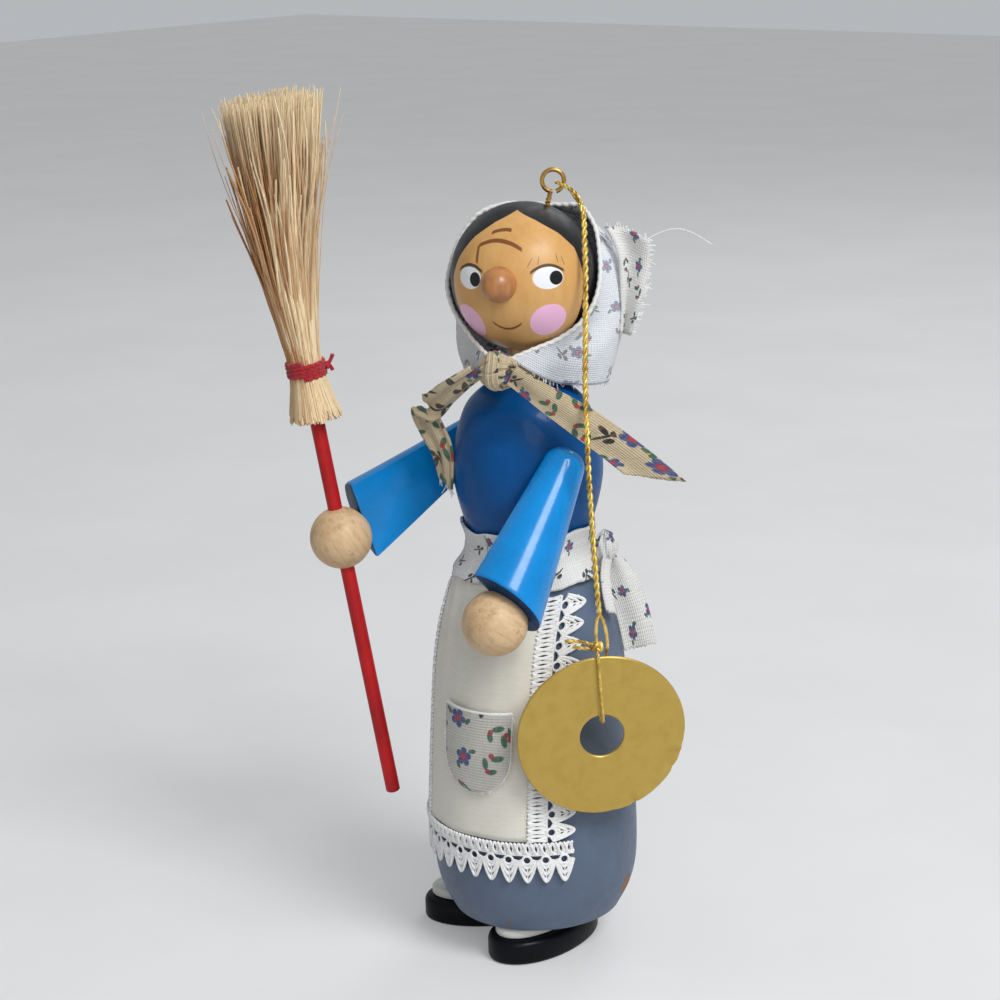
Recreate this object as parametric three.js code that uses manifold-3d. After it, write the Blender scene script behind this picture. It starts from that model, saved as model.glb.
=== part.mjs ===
// Wooden folk figurine: a woman turned from beads and dowels, with kerchief, apron, straw broom and tag.
// Millimetres, +Z up. The origin is on the floor under the skirt's turning axis; -Y is the front.
import * as THREE from "three";
import { mergeVertices } from "three/addons/utils/BufferGeometryUtils.js";
import Module from "manifold-3d";

const wasm = await Module();
wasm.setup();

// Clearances
const SEAT = 0.1; // between faces that rest on each other
const FIT = 0.15; // between a peg and its socket, on the radius
const GAP = 0.3; // between cloth or paint-thick neighbours and what they lie on

// Shoes, socks and their pegs
const SHOE_LENGTH = 19.6;
const SHOE_WIDTH = 10.4;
const SHOE_HEIGHT = 3.5;
const SHOE_TOE_SWELL = 0.12; // how much wider the toe is than the heel
const SHOE_SOLE_EDGE = 0.5; // rounding between sole and side
const SHOE_TOP_EDGE = 1.0; // rounding between side and top
const SOCK_LENGTH = 15;
const SOCK_WIDTH = 7.6;
const SOCK_HEIGHT = 1.3;
const SOCK_FORWARD = 1.2; // towards the toe from the shoe's middle
const FOOT_PEG_RADIUS = 1.4;
const FOOT_PEG_DEPTH = 5; // up into the skirt
const FOOT_PEG_SOLE = 1.4; // wood left under the peg in the shoe
const LEFT_SHOE = { x: 3.1, y: -2.2, turn: -5 };
const RIGHT_SHOE = { x: -8.8, y: 0.6, turn: -49 };

// Skirt, a turned bell
const SKIRT_HEIGHT = 53;
const SKIRT_FOOT_RADIUS = 11.6;
const SKIRT_HEM_RADIUS = 14.2;
const SKIRT_HEM_HEIGHT = 8; // of the widest place above the underside
const SKIRT_KNEE_RADIUS = 13.3;
const SKIRT_KNEE_DROP = 23; // below the top
const SKIRT_HIP_RADIUS = 11.8;
const SKIRT_HIP_DROP = 11; // below the top
const SKIRT_TOP_RADIUS = 8;

// Torso, a turned ovoid on the waist dowel
const TORSO_HEIGHT = 22.4;
const TORSO_FOOT_RADIUS = 7.9;
const TORSO_RADIUS = 10.2;
const TORSO_RADIUS_HEIGHT = 9.6; // of the widest place above the torso's foot
const TORSO_NECK_RADIUS = 8.5;
const TORSO_NECK_DROP = 4; // below the torso's top
const TORSO_TOP_RADIUS = 4.4;
const WAIST_DOWEL_RADIUS = 3;
const WAIST_DOWEL_DEPTH = 8; // into each of the two pieces that it joins
const NECK_DOWEL_RADIUS = 2.6;
const NECK_DOWEL_DEPTH = 6;
const NECK_SHOWING = 4.2; // between torso and head

// Head, a bead with a peg for a nose
const HEAD_RADIUS = 9.75;
const HEAD_TURN = 24; // to the figure's left
const NOSE_RADIUS = 2.3;
const NOSE_SHOWING = 2.9;
const NOSE_ROUND = 2; // length of its rounded end
const NOSE_DEPTH = 3;
const NOSE_RISE = 0.4; // above the head's middle

// Arms: cones cut flat along the inner side, which turn on shoulder pegs
const SHOULDER_TURN = -20; // the shoulders' line is turned to the figure's right
const SHOULDER_X = 11.4;
const SHOULDER_Y = -1.5;
const SHOULDER_ABOVE_TORSO_FOOT = 12.6;
const SHOULDER_PEG_RADIUS = 1.4;
const SHOULDER_PEG_IN_TORSO = 4.5;
const SHOULDER_PEG_IN_SLEEVE = 2.2;
const SHOULDER_GAP = 0.5; // between the torso's widest place and the sleeve's flat inner side
const ARM_SPLAY = 10; // outwards from straight ahead
const SLEEVE_BACK = 2.4; // behind the peg
const SLEEVE_LENGTH = 19.8; // from peg to cuff
const SLEEVE_SHOULDER_RADIUS = 2.6;
const SLEEVE_CUFF_RADIUS = 5.6;
const SLEEVE_CUFF_SLANT = 14; // the cuff is shorter on top
const SLEEVE_FLAT = 0.6; // from the arm's middle to its flat inner side
const LEFT_HAND_BEYOND_CUFF = 2.8; // the hand's middle
const RIGHT_HAND_BEYOND_CUFF = 3.8;
const LEFT_ARM_DROOP = 54;
const RIGHT_ARM_DROOP = 33;
const HAND_RADIUS = 4.3;
const WRIST_PEG_RADIUS = 1.1;
const WRIST_PEG_IN_HAND = 2.2;
const WRIST_PEG_IN_SLEEVE = 4;
const WRIST_PEG_OUT = 1.6; // from the arm's middle, away from the flat side

// Broom through the right hand; lengths along the handle are counted from the hand's middle
const BROOM_LEAN_FORWARD = 6;
const BROOM_LEAN_OUT = 6.6;
const HANDLE_RADIUS = 1;
const HANDLE_BELOW = 38;
const HANDLE_IN_STRAW = 9; // above the lowest straw of the bound bundle
const BUTT_START = 17;
const BUTT_LENGTH = 4.6;
const BUTT_RADIUS = 3.9;
const BUNDLE_LENGTH = 10.5; // the bound part that the strands are fused to
const BUNDLE_FOOT_RADIUS = 2.7;
const BUNDLE_WAIST_RADIUS = 2;
const BUNDLE_WAIST_HEIGHT = 2.6; // above the bundle's foot
const BUNDLE_TOP_RADIUS = 3.1;
const FAN_LENGTH = 29.5;
const FAN_TIP_RADIUS = 7.2;
const FAN_RAGGED = 2.6; // how far tips differ in height
const FAN_SWAY = { x: 2.5, y: 2 }; // tips lean over as one
const FAN_STRANDS = 236;
const BUTT_STRANDS = 72;
const STRAND_RADIUS = 0.15;
const STRAND_ROOT = 0.6; // sunk into the bound bundle
const BINDING_TURNS = 1.5;
const BINDING_YARN_RADIUS = 0.3;
const BINDING_PITCH = 1.05;
const BINDING_STEPS = 24; // to each loop
const BINDING_SIDES = 6;

// Kerchief
const CLOTH = 0.5; // thickness of kerchief and apron cloth
const HOOD_SIDE_RADIUS = 11.2; // hanging sides, outside
const HOOD_SIDE_DROP = 7.4; // of the widest place below the head's middle
const HOOD_EDGE_RADIUS = 9.8;
const HOOD_EDGE_DROP = 14.4; // lower back edge below the head's middle
const HOOD_CHIN_DRAW = 0.036; // share of its radius that the front is drawn in for each millimetre of drop
const HOOD_DRAW_START = -0.75; // cosine of the turn from the front where the drawing in starts
const HOOD_SLACK = 2.6; // loose cloth behind the figure's left ear
const HOOD_SLACK_TURN = 126; // round the head from the face
const HOOD_SLACK_WIDTH = 37;
const HOOD_SLACK_FADE = [7, 10.4]; // heights above the head's middle between which it ends
const FACE_BROW = [-2.2, 10.3]; // points of the face's opening, forward and up from the head's middle
const FACE_TEMPLE = [-3.4, 4.2];
const FACE_CHEEK = [1.5, -2.9];
const FACE_JAW = [2, -7.3];
const FACE_CHIN = [7.8, -9.6];
const THROAT_FRONT = [4.9, -11.7]; // points of the edge over the throat
const THROAT_BEND = [1, -12.2];
const THROAT_BACK = [-1, -16.6];
const KNOT_INSET = 0.35; // of its middle, inside the head's radius
const KNOT_TURN = 16;
const KNOT_ABOVE_TORSO = 2.9;
const KNOT_SIZE = { x: 2.6, y: 1.8, z: 2.2 };
const LONG_TAIL_ROOT_WIDTH = 3.3;
const LONG_TAIL_WIDTH = 4.4;
const SHORT_TAIL_WIDTH = 3;
const TAIL_PLEATS = 2; // lengthwise folds
const TAIL_PLEAT = 0.35; // their depth
const CORNER_OUT = 5.6; // from the hood, at the top
const CORNER_FOOT_OUT = 1.5;
const CORNER_FOLD = 0.7;
const CORNER_RISE = 6.15; // above the head's middle
const CORNER_DROP = 8.4; // below the head's middle
const CORNER_TURN = 131; // round the head from the front

// Apron
const BAND_HEIGHT = 6;
const BAND_ABOVE_WAIST = 2.6;
const BAND_THICKNESS = 0.6;
const APRON_HALF_WIDTH = 9.1; // along the skirt
const APRON_HEM_RISE = 14.4; // above the skirt's underside
const LACE_WIDTH = 6.2;
const LACE_VALLEY = 3.9; // width between two points of the scallops
const LACE_THICKNESS = 0.4;
const LACE_PITCH = 2.55;
const HEM_LACE_WIDTH = 5.6;
const POCKET_TURN = 7;
const POCKET_WIDTH = 10.6;
const POCKET_FOOT_WIDTH = 7.4; // between its rounded lower corners
const POCKET_TOP_RISE = 18.4; // above the apron's hem
const POCKET_HEIGHT = 11.4;
const TIE_TURN = 113;
const TIE_KNOT_SIZE = { x: 1.9, y: 1.5, z: 2.1 };
const TIE_TAIL_WIDTH = 5.4;
const TIE_TAIL_TIP_WIDTH = 1.9;
const TIE_TAIL_TURN = 135; // the way that the long tail's width runs
const TIE_END_WIDTH = 3;
const TIE_END_ROOT_WIDTH = 1.8;

// Screw eye, cord and tag
const EYE_OFFSET = { x: 2.5, y: 2.1 };
const EYE_TILT = 14;
const EYE_TURN = 40; // the way that the ring's opening faces
const EYE_RING_RADIUS = 1.45;
const EYE_WIRE_RADIUS = 0.3;
const EYE_SHANK_SHOWING = 1.9; // from the wood to the ring's wire
const EYE_SHANK_DEPTH = 6;
const CORD_RADIUS = 0.4;
const THREAD_RADIUS = 0.27;
const CORD_KNOT_RADIUS = 1;
const TAG_RADIUS = 11.4;
const TAG_HOLE_RADIUS = 3;
const TAG_THICKNESS = 0.5;
const TAG_TURN = 50; // the way that the tag faces
const TAG_TILT = 5; // its face looks down by this much
const TAG_EDGE_BELOW_KNOT = 0.4;

// How finely round things are divided
const ROUND_LARGE = 24;
const ROUND_MIDDLE = 18;
const ROUND_SMALL = 12;
const CORD_STEPS = 28;
const THREAD_STEPS = 18;

// Small geometry tools

const radians = THREE.MathUtils.degToRad;

function vector(x, y, z) {
  return new THREE.Vector3(x, y, z);
}

// A place at a distance from the turning axis, turned from the front towards the figure's left.
function around(radius, turn, z) {
  return vector(radius * Math.sin(turn), -radius * Math.cos(turn), z);
}

// Evenly spaced numbers, both ends counted.
function spread(from, to, count) {
  return Array.from({ length: count + 1 }, (_, k) => THREE.MathUtils.lerp(from, to, k / count));
}

// Merged, outward-facing copy of a closed geometry, with no flat triangles left at a lathe's axis.
function closed(source) {
  const bare = source.clone();
  for (const name of Object.keys(bare.attributes)) {
    if (name !== "position") bare.deleteAttribute(name);
  }
  const merged = mergeVertices(bare, 1e-4);
  const place = merged.attributes.position;
  const [a, b, c] = [vector(), vector(), vector()];
  const triangles = [];
  let volume = 0;
  for (let i = 0; i < merged.index.count; i += 3) {
    const corner = [0, 1, 2].map((k) => merged.index.getX(i + k));
    if (new Set(corner).size < 3) continue;
    triangles.push(corner);
    a.fromBufferAttribute(place, corner[0]);
    b.fromBufferAttribute(place, corner[1]);
    c.fromBufferAttribute(place, corner[2]);
    volume += a.dot(b.cross(c));
  }
  if (volume < 0) triangles.forEach((corner) => corner.reverse());
  merged.setIndex(triangles.flat());
  merged.computeVertexNormals();
  return merged;
}

function toSolid(geometry) {
  const ready = closed(geometry);
  return new wasm.Manifold(
    new wasm.Mesh({
      numProp: 3,
      vertProperties: new Float32Array(ready.attributes.position.array),
      triVerts: new Uint32Array(ready.index.array),
    })
  );
}

function toGeometry(solid) {
  const mesh = solid.getMesh();
  const geometry = new THREE.BufferGeometry();
  geometry.setAttribute("position", new THREE.BufferAttribute(mesh.vertProperties, 3));
  geometry.setIndex(new THREE.BufferAttribute(mesh.triVerts, 1));
  return geometry;
}

function cut(geometry, ...tools) {
  return toGeometry(tools.reduce((solid, tool) => solid.subtract(toSolid(tool)), toSolid(geometry)));
}

function join(...geometries) {
  return toGeometry(geometries.map(toSolid).reduce((whole, solid) => whole.add(solid)));
}

// Turned piece about Z from [radius, height] pairs.
function turned(profile, sides = ROUND_LARGE) {
  const points = profile.map(([radius, height]) => new THREE.Vector2(radius, height));
  return closed(new THREE.LatheGeometry(points, sides).rotateX(Math.PI / 2));
}

// Round bar about Z between two heights.
function bar(radius, low, high, sides = ROUND_SMALL) {
  return turned([[0, low], [radius, low], [radius, high], [0, high]], sides);
}

// Solid through a row of rings with equal numbers of points, closed by a fan at each end.
function loft(rings) {
  const count = rings[0].length;
  const points = rings.flat();
  const index = [];
  for (let i = 0; i + 1 < rings.length; i++) {
    for (let j = 0; j < count; j++) {
      const next = (j + 1) % count;
      const [p, q] = [i * count + j, i * count + next];
      index.push(p, q, q + count, p, q + count, p + count);
    }
  }
  [0, rings.length - 1].forEach((end) => {
    const middle = rings[end].reduce((sum, point) => sum.add(point), vector()).divideScalar(count);
    points.push(middle);
    for (let j = 0; j < count; j++) {
      const fan = [end * count + j, end * count + ((j + 1) % count), points.length - 1];
      index.push(...(end === 0 ? fan.reverse() : fan));
    }
  });
  return closed(new THREE.BufferGeometry().setFromPoints(points).setIndex(index));
}

// Sheet of cloth of even thickness about a grid of points, rows along it and places across it.
function sheet(rows, thickness) {
  const [last, end] = [rows.length - 1, rows[0].length - 1];
  const clamp = THREE.MathUtils.clamp;
  const points = [1, -1].flatMap((face) =>
    rows.flatMap((row, i) =>
      row.map((point, j) => {
        const along = rows[clamp(i + 1, 0, last)][j].clone().sub(rows[clamp(i - 1, 0, last)][j]);
        const across = row[clamp(j + 1, 0, end)].clone().sub(row[clamp(j - 1, 0, end)]);
        return along.cross(across).setLength((face * thickness) / 2).add(point);
      })
    )
  );
  const spot = (face, i, j) => face * rows.length * (end + 1) + i * (end + 1) + j;
  const index = [];
  const quad = (a, b, c, d) => index.push(a, b, c, a, c, d);
  for (let i = 0; i < last; i++) {
    for (let j = 0; j < end; j++) {
      quad(spot(0, i, j), spot(0, i + 1, j), spot(0, i + 1, j + 1), spot(0, i, j + 1));
      quad(spot(1, i, j + 1), spot(1, i + 1, j + 1), spot(1, i + 1, j), spot(1, i, j));
    }
    quad(spot(1, i, 0), spot(1, i + 1, 0), spot(0, i + 1, 0), spot(0, i, 0));
    quad(spot(0, i, end), spot(0, i + 1, end), spot(1, i + 1, end), spot(1, i, end));
  }
  for (let j = 0; j < end; j++) {
    quad(spot(0, 0, j), spot(0, 0, j + 1), spot(1, 0, j + 1), spot(1, 0, j));
    quad(spot(1, last, j), spot(1, last, j + 1), spot(0, last, j + 1), spot(0, last, j));
  }
  return closed(new THREE.BufferGeometry().setFromPoints(points).setIndex(index));
}

// Tube of a cord along hand-chosen points.
function cordTube(points, radius, steps) {
  const section = new THREE.Shape(new THREE.EllipseCurve(0, 0, radius, radius).getPoints(8).slice(0, 8));
  const path = new THREE.CatmullRomCurve3(points);
  return closed(new THREE.ExtrudeGeometry(section, { steps, extrudePath: path, bevelEnabled: false }));
}

function scaledBall(radius, size) {
  return new THREE.SphereGeometry(radius, ROUND_SMALL, ROUND_SMALL - 4).scale(size.x, size.y, size.z);
}

function finish(color, roughness, metalness = 0) {
  return new THREE.MeshStandardMaterial({ color, roughness, metalness });
}

function piece(parent, name, geometry, material) {
  const mesh = new THREE.Mesh(closed(geometry), material);
  mesh.name = name;
  parent.add(mesh);
  return mesh;
}

// Finishes

const GREY_PAINT = finish(0x5f697d, 0.6);
const BLUE_PAINT = finish(0x145faa, 0.35);
const SLEEVE_PAINT = finish(0x197dcd, 0.3);
const HEAD_WOOD = finish(0xcd9655, 0.45);
const NOSE_WOOD = finish(0xa86a35, 0.4);
const PALE_WOOD = finish(0xd7b487, 0.6);
const BLACK_PAINT = finish(0x141416, 0.35);
const WHITE_PAINT = finish(0xe8e6e0, 0.6);
const RED_PAINT = finish(0xb92328, 0.5);
const RED_YARN = finish(0x9c1a22, 0.9);
const STRAW = finish(0xcdaf82, 0.8);
const PRINT_CLOTH = finish(0xdcd8cc, 0.9);
const APRON_CLOTH = finish(0xe1ded2, 0.9);
const LACE_THREAD = finish(0xf0efea, 0.9);
const BRASS = finish(0xb5924c, 0.3, 1);
const GOLD_CORD = finish(0xc2a04a, 0.4, 0.8);
const GOLD_CARD = finish(0xb99b41, 0.35, 0.7);

// Heights that stack up from the floor
const SKIRT_FOOT_Z = SHOE_HEIGHT + SEAT + SOCK_HEIGHT + SEAT;
const SKIRT_TOP_Z = SKIRT_FOOT_Z + SKIRT_HEIGHT;
const TORSO_FOOT_Z = SKIRT_TOP_Z + SEAT;
const TORSO_TOP_Z = TORSO_FOOT_Z + TORSO_HEIGHT;
const HEAD_Z = TORSO_TOP_Z + NECK_SHOWING + HEAD_RADIUS;
const SHOULDER_Z = TORSO_FOOT_Z + SHOULDER_ABOVE_TORSO_FOOT;
const BAND_TOP_Z = TORSO_FOOT_Z + BAND_ABOVE_WAIST;
const BAND_FOOT_Z = BAND_TOP_Z - BAND_HEIGHT;
const APRON_HEM_Z = SKIRT_FOOT_Z + APRON_HEM_RISE;
const POCKET_TOP_Z = APRON_HEM_Z + POCKET_TOP_RISE;

// Outlines of the turned body

function smoothProfile(pairs, count) {
  const points = pairs.map(([radius, height]) => new THREE.Vector2(radius, height));
  return new THREE.SplineCurve(points).getPoints(count).map((point) => [point.x, point.y]);
}

const skirtProfile = smoothProfile(
  [
    [SKIRT_FOOT_RADIUS, SKIRT_FOOT_Z],
    [SKIRT_HEM_RADIUS, SKIRT_FOOT_Z + SKIRT_HEM_HEIGHT],
    [SKIRT_KNEE_RADIUS, SKIRT_TOP_Z - SKIRT_KNEE_DROP],
    [SKIRT_HIP_RADIUS, SKIRT_TOP_Z - SKIRT_HIP_DROP],
    [SKIRT_TOP_RADIUS, SKIRT_TOP_Z],
  ],
  12
);
const torsoProfile = smoothProfile(
  [
    [TORSO_FOOT_RADIUS, TORSO_FOOT_Z],
    [TORSO_RADIUS, TORSO_FOOT_Z + TORSO_RADIUS_HEIGHT],
    [TORSO_NECK_RADIUS, TORSO_TOP_Z - TORSO_NECK_DROP],
    [TORSO_TOP_RADIUS, TORSO_TOP_Z],
  ],
  9
);

function radiusAt(profile, z) {
  const above = profile.findIndex(([, height]) => height >= z);
  if (above < 0) return profile.at(-1)[0];
  if (above === 0) return profile[0][0];
  const [[r0, z0], [r1, z1]] = [profile[above - 1], profile[above]];
  return THREE.MathUtils.mapLinear(z, z0, z1, r0, r1);
}

function bodyRadius(z) {
  return radiusAt(z < TORSO_FOOT_Z ? skirtProfile : torsoProfile, z);
}

const figure = new THREE.Group();

// Feet: shoe, sock and peg, each turned out on its own

function shoeOutline(length, width, z, middle = 0) {
  return Array.from({ length: ROUND_MIDDLE }, (_, k) => {
    const turn = (k / ROUND_MIDDLE) * 2 * Math.PI;
    const across = Math.sin(turn) * (1 + SHOE_TOE_SWELL * Math.cos(turn));
    return vector((width / 2) * across, -middle - (length / 2) * Math.cos(turn), z);
  });
}

function shoeShape() {
  const ring = (inset, z) => shoeOutline(SHOE_LENGTH - 2 * inset, SHOE_WIDTH - 2 * inset, z);
  const round = 1 - Math.SQRT1_2;
  return loft([
    ring(SHOE_SOLE_EDGE, 0),
    ring(0, SHOE_SOLE_EDGE),
    ring(0, SHOE_HEIGHT - SHOE_TOP_EDGE),
    ring(SHOE_TOP_EDGE * round, SHOE_HEIGHT - SHOE_TOP_EDGE * round),
    ring(SHOE_TOP_EDGE, SHOE_HEIGHT),
  ]);
}

const SOCK_FOOT_Z = SHOE_HEIGHT + SEAT;
const FOOT_PEG_TOP_Z = SKIRT_FOOT_Z + FOOT_PEG_DEPTH;

function foot(name, place) {
  const group = new THREE.Group();
  group.position.set(place.x, place.y, 0);
  group.rotation.z = radians(place.turn);
  figure.add(group);
  const socket = bar(FOOT_PEG_RADIUS + FIT, FOOT_PEG_SOLE, FOOT_PEG_TOP_Z + SEAT);
  const sock = loft([
    shoeOutline(SOCK_LENGTH, SOCK_WIDTH, SOCK_FOOT_Z, SOCK_FORWARD),
    shoeOutline(SOCK_LENGTH, SOCK_WIDTH, SOCK_FOOT_Z + SOCK_HEIGHT, SOCK_FORWARD),
  ]);
  piece(group, `${name}_shoe`, cut(shoeShape(), socket), BLACK_PAINT);
  piece(group, `${name}_sock`, cut(sock, socket), WHITE_PAINT);
  piece(group, `${name}_foot_peg`, bar(FOOT_PEG_RADIUS, FOOT_PEG_SOLE + SEAT, FOOT_PEG_TOP_Z), PALE_WOOD);
  group.updateMatrix();
  return socket.applyMatrix4(group.matrix);
}

const footSockets = [foot("left", LEFT_SHOE), foot("right", RIGHT_SHOE)];

// Body: skirt, torso and the dowels that join them

const waistSocket = bar(
  WAIST_DOWEL_RADIUS + FIT,
  SKIRT_TOP_Z - WAIST_DOWEL_DEPTH - SEAT,
  TORSO_FOOT_Z + WAIST_DOWEL_DEPTH + SEAT
);
const neckSocket = bar(
  NECK_DOWEL_RADIUS + FIT,
  TORSO_TOP_Z - NECK_DOWEL_DEPTH - SEAT,
  HEAD_Z - HEAD_RADIUS + NECK_DOWEL_DEPTH + SEAT
);

// Where a sleeve's peg leaves the torso, at the shoulder's height and depth.
const SHOULDER_WALL_X = Math.sqrt(radiusAt(torsoProfile, SHOULDER_Z) ** 2 - SHOULDER_Y ** 2);
const SLEEVE_INNER_X = TORSO_RADIUS + SHOULDER_GAP;

function shoulderPeg(side, radius, slack) {
  const low = SHOULDER_WALL_X - SHOULDER_PEG_IN_TORSO - slack;
  const high = SLEEVE_INNER_X + SHOULDER_PEG_IN_SLEEVE + slack;
  return bar(radius, low, high)
    .rotateY((side * Math.PI) / 2)
    .translate(0, SHOULDER_Y, SHOULDER_Z)
    .rotateZ(radians(SHOULDER_TURN));
}

function buildBody() {
  const skirt = turned([[0, SKIRT_FOOT_Z], ...skirtProfile, [0, SKIRT_TOP_Z]]);
  const torso = turned([[0, TORSO_FOOT_Z], ...torsoProfile, [0, TORSO_TOP_Z]]);
  const shoulderSockets = [1, -1].map((side) => shoulderPeg(side, SHOULDER_PEG_RADIUS + FIT, SEAT));
  piece(figure, "skirt_body", cut(skirt, waistSocket, ...footSockets), GREY_PAINT);
  piece(figure, "torso", cut(torso, waistSocket, neckSocket, ...shoulderSockets), BLUE_PAINT);
  const waist = bar(
    WAIST_DOWEL_RADIUS,
    SKIRT_TOP_Z - WAIST_DOWEL_DEPTH,
    TORSO_FOOT_Z + WAIST_DOWEL_DEPTH
  );
  piece(figure, "waist_dowel", waist, PALE_WOOD);
  const neck = bar(
    NECK_DOWEL_RADIUS,
    TORSO_TOP_Z - NECK_DOWEL_DEPTH,
    HEAD_Z - HEAD_RADIUS + NECK_DOWEL_DEPTH
  );
  piece(figure, "neck_dowel", neck, HEAD_WOOD);
  piece(figure, "left_shoulder_peg", shoulderPeg(1, SHOULDER_PEG_RADIUS, 0), PALE_WOOD);
  piece(figure, "right_shoulder_peg", shoulderPeg(-1, SHOULDER_PEG_RADIUS, 0), PALE_WOOD);
}

buildBody();

// Arms: each group has its origin on the shoulder peg's axis and reaches along -Y

const shoulders = new THREE.Group();
shoulders.rotation.z = radians(SHOULDER_TURN);
figure.add(shoulders);

function buildArm(name, side, droop, handBeyondCuff) {
  const arm = new THREE.Group();
  arm.position.set(side * SHOULDER_X, SHOULDER_Y, SHOULDER_Z);
  arm.rotation.set(radians(droop), 0, radians(side * ARM_SPLAY));
  shoulders.add(arm);

  const flare = (SLEEVE_CUFF_RADIUS - SLEEVE_SHOULDER_RADIUS) / (SLEEVE_LENGTH + SLEEVE_BACK);
  const overhang = 2 * SLEEVE_CUFF_RADIUS * Math.tan(radians(SLEEVE_CUFF_SLANT));
  const length = SLEEVE_BACK + SLEEVE_LENGTH + overhang;
  const endRadius = SLEEVE_CUFF_RADIUS + flare * overhang;
  const cone = new THREE.CylinderGeometry(SLEEVE_SHOULDER_RADIUS, endRadius, length, ROUND_MIDDLE)
    .translate(0, SLEEVE_BACK - length / 2, 0);
  const innerFace = SHOULDER_X - SLEEVE_INNER_X;
  const block = 4 * SLEEVE_LENGTH;
  const flat = new THREE.BoxGeometry(block, block, block)
    .translate(-innerFace - block / 2, 0, 0)
    .rotateZ(radians(-ARM_SPLAY));
  const inside = new THREE.BoxGeometry(block, block, block).translate(-SLEEVE_FLAT - block / 2, 0, 0);
  if (side < 0) {
    flat.rotateY(Math.PI);
    inside.rotateY(Math.PI);
  }
  const cuffEnd = new THREE.BoxGeometry(block, block, block)
    .translate(0, -block / 2, 0)
    .rotateX(radians(-SLEEVE_CUFF_SLANT))
    .translate(0, -SLEEVE_LENGTH, 0);
  const pegEnd = SHOULDER_PEG_IN_SLEEVE + SEAT - innerFace;
  const pegHole = bar(SHOULDER_PEG_RADIUS + FIT, -block, pegEnd)
    .rotateY((side * Math.PI) / 2)
    .rotateZ(radians(-side * ARM_SPLAY));
  const reach = SLEEVE_LENGTH + handBeyondCuff;
  const handMiddle = vector(0, -reach, 0);
  const dish = new THREE.SphereGeometry(HAND_RADIUS + GAP, ROUND_MIDDLE, ROUND_SMALL)
    .translate(...handMiddle);
  const pegLow = reach - HAND_RADIUS - WRIST_PEG_IN_SLEEVE;
  const pegHigh = reach - HAND_RADIUS + WRIST_PEG_IN_HAND;
  const wristBar = (radius, slack) =>
    bar(radius, pegLow - slack, pegHigh + slack).rotateX(Math.PI / 2).translate(side * WRIST_PEG_OUT, 0, 0);
  const wristSocket = wristBar(WRIST_PEG_RADIUS + FIT, SEAT);
  const ball = new THREE.SphereGeometry(HAND_RADIUS, ROUND_MIDDLE, ROUND_MIDDLE / 2)
    .translate(...handMiddle);

  piece(arm, `${name}_sleeve`, cut(cone, flat, inside, cuffEnd, pegHole, dish, wristSocket), SLEEVE_PAINT);
  piece(arm, `${name}_wrist_peg`, wristBar(WRIST_PEG_RADIUS, 0), PALE_WOOD);
  return { arm, ball: cut(ball, wristSocket), handMiddle };
}

const leftArm = buildArm("left", 1, LEFT_ARM_DROOP, LEFT_HAND_BEYOND_CUFF);
piece(leftArm.arm, "left_hand", leftArm.ball, PALE_WOOD);
const rightArm = buildArm("right", -1, RIGHT_ARM_DROOP, RIGHT_HAND_BEYOND_CUFF);

// Broom: its group has its origin at the hand's middle and +Z up along the handle

const broom = new THREE.Group();
broom.position.copy(rightArm.handMiddle);
rightArm.arm.updateWorldMatrix(true, false);
const armTurn = new THREE.Quaternion().setFromRotationMatrix(rightArm.arm.matrixWorld);
const broomLean = new THREE.Euler(radians(BROOM_LEAN_FORWARD), radians(-BROOM_LEAN_OUT), 0);
broom.quaternion.copy(armTurn.invert()).multiply(new THREE.Quaternion().setFromEuler(broomLean));
rightArm.arm.add(broom);

const BUNDLE_FOOT = BUTT_START + BUTT_LENGTH;
const BUNDLE_TOP = BUNDLE_FOOT + BUNDLE_LENGTH;
const BUNDLE_WAIST = BUNDLE_FOOT + BUNDLE_WAIST_HEIGHT;
const HANDLE_TOP = BUNDLE_FOOT + HANDLE_IN_STRAW;
const GOLDEN_TURN = Math.PI * (3 - Math.sqrt(5));

// Repeatable number from 0 to 1 for strand k.
function scatter(k) {
  const value = Math.sin((k + 1) * 12.9898) * 43758.5453;
  return value - Math.floor(value);
}

// Three-sided strand between two points.
function strand(root, tip, turn) {
  const ring = (middle) =>
    [0, 1, 2].map((k) => {
      const angle = turn + (k / 3) * 2 * Math.PI;
      return vector(STRAND_RADIUS * Math.cos(angle), STRAND_RADIUS * Math.sin(angle), 0).add(middle);
    });
  const [a, b, c, d, e, f] = [...ring(root), ...ring(tip)];
  const index = [0, 2, 1, 3, 4, 5, 0, 1, 4, 0, 4, 3, 1, 2, 5, 1, 5, 4, 2, 0, 3, 2, 3, 5];
  return new THREE.BufferGeometry().setFromPoints([a, b, c, d, e, f]).setIndex(index);
}

// Strands spread evenly over a ring-shaped root, opening out towards their tips without crossing.
function strands(count, inner, outer, spread, place) {
  return Array.from({ length: count }, (_, k) => {
    const share = (k + 0.5) / count;
    const radius = Math.sqrt(inner ** 2 + (outer ** 2 - inner ** 2) * share);
    const turn = k * GOLDEN_TURN;
    const [rootZ, tipZ, sway] = place(k);
    const root = vector(radius * Math.cos(turn), radius * Math.sin(turn), rootZ);
    const tip = vector(root.x * spread + sway.x, root.y * spread + sway.y, tipZ);
    return strand(root, tip, turn);
  });
}

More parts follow.
